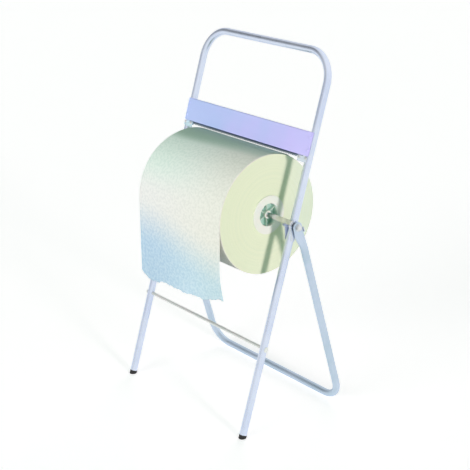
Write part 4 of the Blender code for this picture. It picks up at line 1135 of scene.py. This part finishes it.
def paper_tone(tree, place, pebble, fibre, painted_blue_shade_foot):
    """Colour of the outer paper, by its place on the roll.

    It is warm to the right and green high on the left, that green a painted cast of light. At the very top
    a grey-green band is painted shade from the plate above, and the loose paper may turn blue at its foot
    in painted shade.
    """
    left = spread(tree, part_of(tree, place, "X"), *LEFT_REACH)
    rise = part_of(tree, place, "Z")
    colour = blend(tree, left, (0.86, 0.86, 0.76), (0.86, 0.86, 0.83))
    # Painted green cast of light, high on the left
    painted_green_cast = calc(tree, "MULTIPLY", spread(tree, rise, *PAINTED_GREEN_CAST_REACH), left)
    colour = blend(tree, painted_green_cast, colour, (0.77, 0.92, 0.82))
    # Painted bluish shade, darker, at the foot of the loose paper
    if painted_blue_shade_foot:
        reach = weighed(tree, (rise, 1.0), (left, -PAINTED_BLUE_SHADE_LEFT_RISE), (pebble, PAINTED_BLUE_SHADE_RAGGED))
        blue = blend(tree, left, (0.53, 0.75, 0.83), (0.42, 0.63, 0.82))
        colour = blend(tree, spread(tree, reach, *PAINTED_BLUE_SHADE_REACH), colour, blue)
    colour = blend(tree, spread(tree, pebble, 0.25, 0.75, 0.0, 0.3), colour, (0.86, 0.88, 0.87))
    colour = blend(tree, spread(tree, fibre, 0.4, 0.8, 0.0, 0.2), colour, (0.87, 0.88, 0.87))
    colour = blend(tree, spread(tree, pebble, 0.58, 0.40), colour, (0.92, 0.93, 0.94), way="MULTIPLY")
    # Painted shade: a grey-green band darkens the paper along the roll's very top, under the plate
    behind = calc(tree, "MAXIMUM", calc(tree, "SUBTRACT", part_of(tree, place, "Y"), AXLE[1]), 0.0)
    right = calc(tree, "SUBTRACT", 1.0, left)
    uneven = calc(tree, "SUBTRACT", pebble, 0.5)
    crown = weighed(
        tree, (rise, 1.0), (behind, PAINTED_CROWN_SHADE_BEHIND_SHARE), (right, -PAINTED_CROWN_SHADE_NARROW), (uneven, PAINTED_CROWN_SHADE_RAGGED),
    )
    top = AXLE[2] + ROLL_R
    return blend(tree, spread(tree, crown, top - PAINTED_CROWN_SHADE_DEPTH, top), colour, (0.40, 0.56, 0.45))


def outer_paper(name, painted_blue_shade_foot=False):
    """Embossed paper outside: chalky, with the relief of its dimples and crepe."""
    made, tree, shader, place = begin(name, roughness=0.9)
    height, pebble, fibre = paper_relief(tree, place["UV"])
    shader.inputs["Sheen Weight"].default_value = 0.08
    colour = paper_tone(tree, place["Object"], pebble, fibre, painted_blue_shade_foot)
    rough = spread(tree, pebble, *NOISE_REACH, 0.86, 0.94)
    finish_with(tree, shader, colour, rough, height, bump=0.0006, strength=0.5)
    return made


def layer_paper():
    """The roll's end: hundreds of cut layers as rings about the axle, cream with a green cast."""
    made, tree, shader, place = begin("layer_paper", roughness=0.92)
    centred = vector_calc(tree, "SUBTRACT", place["Object"], (0.0, AXLE[1], AXLE[2]))["Vector"]
    flat = vector_calc(tree, "MULTIPLY", centred, (0.0, 1.0, 1.0))["Vector"]
    radius = vector_calc(tree, "LENGTH", flat)["Value"]
    layer = line_noise(tree, radius, 1800.0, 3.0, 0.7)
    band = line_noise(tree, radius, 160.0, 2.0, 0.5)
    fluff = noise(tree, place["Object"], 320.0, 4.0, 0.7)
    back = spread(tree, part_of(tree, centred, "Y"), *BACK_REACH)
    colour = blend(tree, back, (0.76, 0.86, 0.61), (0.70, 0.84, 0.68))
    colour = blend(tree, spread(tree, band, *NOISE_REACH, 0.0, 0.5), colour, (0.70, 0.82, 0.585))
    colour = blend(tree, spread(tree, layer, 0.25, 0.6, 0.35, 0.0), colour, (0.62, 0.68, 0.50))
    colour = blend(tree, spread(tree, fluff, 0.5, 0.8, 0.0, 0.4), colour, (0.86, 0.88, 0.74))
    height = weighed(tree, (layer, 1.0), (fluff, 0.5))
    finish_with(tree, shader, colour, None, height, bump=0.0003, strength=0.5)
    return made


def brown_cardboard():
    """Core board: grey-brown plies with a spiral seam and short fibres."""
    made, tree, shader, place = begin("brown_cardboard", roughness=0.92)
    fibre = noise(tree, place["Object"], 900.0, 4.0, 0.7)
    cloud = noise(tree, place["Object"], 60.0, 3.0, 0.6)
    along, around = part_of(tree, place["UV"], "Y"), part_of(tree, place["UV"], "X")
    girth = 2 * math.pi * (CORE_R + CORE_WALL)
    turns = weighed(tree, (along, 1 / CORE_SEAM_PITCH), (around, 1 / girth))
    seam = spread(tree, calc(tree, "FRACT", turns), 0.0, CORE_SEAM_SHARE, 1.0, 0.0)
    colour = blend(tree, spread(tree, cloud, *NOISE_REACH), (0.36, 0.25, 0.15), (0.47, 0.34, 0.21))
    colour = blend(tree, spread(tree, fibre, 0.5, 0.8, 0.0, 0.5), colour, (0.56, 0.43, 0.29))
    colour = blend(tree, calc(tree, "MULTIPLY", seam, 0.6), colour, (0.20, 0.13, 0.08))
    height = calc(tree, "SUBTRACT", fibre, seam)
    finish_with(tree, shader, colour, None, height, bump=0.0002, strength=0.5)
    return made


def ivory_plastic():
    """The bushes' plastic: pale at the flange, darker and greener down in the recess, where the darkening is
    painted shade.
    """
    made, tree, shader, place = begin("ivory_moulding", roughness=0.42)
    outward = calc(tree, "ABSOLUTE", part_of(tree, place["Object"], "X"))
    flow = noise(tree, place["Object"], 45.0, 2.0, 0.5)
    spark = noise(tree, place["Object"], 1300.0, 2.0, 0.5)
    # Painted shade: darker and greener down in the recess, pale at the flange
    pale = spread(tree, outward, ROLL_X - RECESS_PAINTED_SHADE_FULL, ROLL_X + RECESS_PAINTED_SHADE_END)
    colour = blend(tree, pale, (0.40, 0.64, 0.54), (0.78, 0.84, 0.74))
    colour = blend(tree, spread(tree, flow, 0.35, 0.7, 0.0, 0.2), colour, (0.82, 0.86, 0.80))
    shader.inputs["Subsurface Weight"].default_value = 0.08
    shader.inputs["Subsurface Scale"].default_value = 0.002
    rough = spread(tree, spark, *NOISE_REACH, 0.36, 0.48)
    finish_with(tree, shader, colour, rough, spark, bump=0.00005, strength=0.3)
    return made


def seen_share(tree, level):
    """A level for what the camera, gloss and clear pieces see, and nothing for diffuse light."""
    path = tree.nodes.new("ShaderNodeLightPath")
    seen = calc(tree, "MAXIMUM", path.outputs["Is Camera Ray"], path.outputs["Is Glossy Ray"])
    seen = calc(tree, "MAXIMUM", seen, path.outputs["Is Transmission Ray"])
    return calc(tree, "MULTIPLY", seen, level)


def pale_floor():
    """A pale floor that looks white to the camera and to gloss, and still takes a soft shadow."""
    made, tree, shader, _ = begin("pale_floor", roughness=0.9)
    shader.inputs["Base Color"].default_value = (*FLOOR_TONE, 1.0)
    shader.inputs["Specular IOR Level"].default_value = 0.0
    glow = add(tree, "ShaderNodeEmission", Color=(1.0, 1.0, 1.0, 1.0), Strength=seen_share(tree, FLOOR_GLOW))
    both = tree.nodes.new("ShaderNodeAddShader")
    plug(tree, both.inputs[0], shader.outputs[0])
    plug(tree, both.inputs[1], glow.outputs[0])
    plug(tree, tree.nodes["Material Output"].inputs["Surface"], both.outputs[0])
    return made


def floor():
    """A square of pale floor well past the stand."""
    mesh = bpy.data.meshes.new("floor")
    corners = [(x * FLOOR_HALF, y * FLOOR_HALF, 0) for x, y in ((-1, -1), (1, -1), (1, 1), (-1, 1))]
    mesh.from_pydata(corners, [], [(0, 1, 2, 3)])
    mesh.materials.append(pale_floor())
    made = bpy.data.objects.new("floor", mesh)
    bpy.context.scene.collection.objects.link(made)


def dimmed(tree, direction, side, cone, level):
    """What gloss loses in a direction: nothing outside a cone about one side, and all but a level in it."""
    near = vector_calc(tree, "DOT_PRODUCT", direction, Vector(side).normalized())["Value"]
    return calc(tree, "MULTIPLY", spread(tree, near, *cone), 1.0 - level)


def world():
    """The studio: soft light from all round with less from above; gloss sees white with its dim sides."""
    made = bpy.data.worlds.new("studio")
    made.use_nodes = True
    tree = made.node_tree
    direction = tree.nodes.new("ShaderNodeTexCoord").outputs["Generated"]
    rise = part_of(tree, direction, "Z")
    soft = blend(tree, spread(tree, rise, *AMBIENT_RISE), AMBIENT_LOW, AMBIENT_HIGH)
    dim = 0.0
    for side, cone, level in DIM_CARDS:
        dim = calc(tree, "MAXIMUM", dim, dimmed(tree, direction, side, cone, level))
    gloss = tree.nodes.new("ShaderNodeLightPath").outputs["Is Glossy Ray"]
    background = tree.nodes["Background"].inputs
    plug(tree, background["Color"], blend(tree, seen_share(tree, 1.0), soft, (1.0, 1.0, 1.0)))
    plug(tree, background["Strength"], calc(tree, "SUBTRACT", 1.0, calc(tree, "MULTIPLY", gloss, dim)))
    bpy.context.scene.world = made


def lamp(name, direction, level, angle, colour):
    """A far soft lamp: a face square to it sends back its level, as a share of the face's colour."""
    light = bpy.data.lights.new(name, "SUN")
    light.energy = level * math.pi
    light.angle = angle
    light.color = colour
    made = bpy.data.objects.new(name, light)
    made.rotation_euler = Vector(direction).to_track_quat("-Z", "Y").to_euler()
    made.visible_glossy = False
    bpy.context.scene.collection.objects.link(made)


def lights():
    """The key from the right, which lays the tube's shadow on the roll's end, and two soft fills."""
    key_from = SHADOW_ACROSS * (ALONG_X + math.tan(KEY_RISE) * UP_FRONT) + SHADOW_BEHIND * AHEAD_FRONT
    lamp("key", -key_from, KEY_LEVEL, KEY_ANGLE, KEY_TINT)
    lamp("front_fill", FILL_TOWARDS, FILL_LEVEL, FILL_ANGLE, FILL_TINT)
    lamp("back_fill", BACK_TOWARDS, BACK_LEVEL, FILL_ANGLE, BACK_TINT)


def camera():
    """The photograph's view, fitted to the straight tubes."""
    lens = bpy.data.cameras.new("camera")
    lens.sensor_width = SENSOR
    lens.lens = FOCAL_PIXELS * SENSOR / PHOTO_PIXELS
    made = bpy.data.objects.new("camera", lens)
    made.location = CAMERA_PLACE
    made.rotation_euler = CAMERA_TURN
    bpy.context.scene.collection.objects.link(made)
    bpy.context.scene.camera = made


def stand():
    """Dress every piece of the stand."""
    sheet, zinc = sheet_chrome(), bright_zinc()
    black, ivory = black_plastic(), ivory_plastic()
    paint = stoved_paint("periwinkle_paint", *PLATE_PAINT)
    pale = stoved_paint("pale_blue_paint", *BRACKET_PAINT)
    front_tube(satin_chrome("satin_chrome", *FRONT_CHROME))
    rear_tube(satin_chrome("satin_chrome_rear", *REAR_CHROME, satin=REAR_SATIN))
    crossbar(dull_rod())
    axle_rod(drawn_bar())
    paper_roll(outer_paper("wrap_paper"), layer_paper())
    cardboard_core(brown_cardboard())
    hanging_sheet(outer_paper("loose_paper_blue", painted_blue_shade_foot=True))
    dressed("tear_plate", paint, PLATE_EDGE)
    dressed("tear_blade", blade_steel(), BLADE_EDGE)
    for side, word in ((-1, "left"), (1, "right")):
        foot_cap(side, word, black)
        core_bush(side, word, ivory)
        dressed("axle_saddle_" + word, sheet, SADDLE_EDGE)
        dressed("blade_bracket_" + word, pale, PLATE_EDGE)
    fasteners(zinc, black, paint)


stand()
floor()
world()
lights()
camera()
bpy.context.scene.view_settings.view_transform = "Standard"
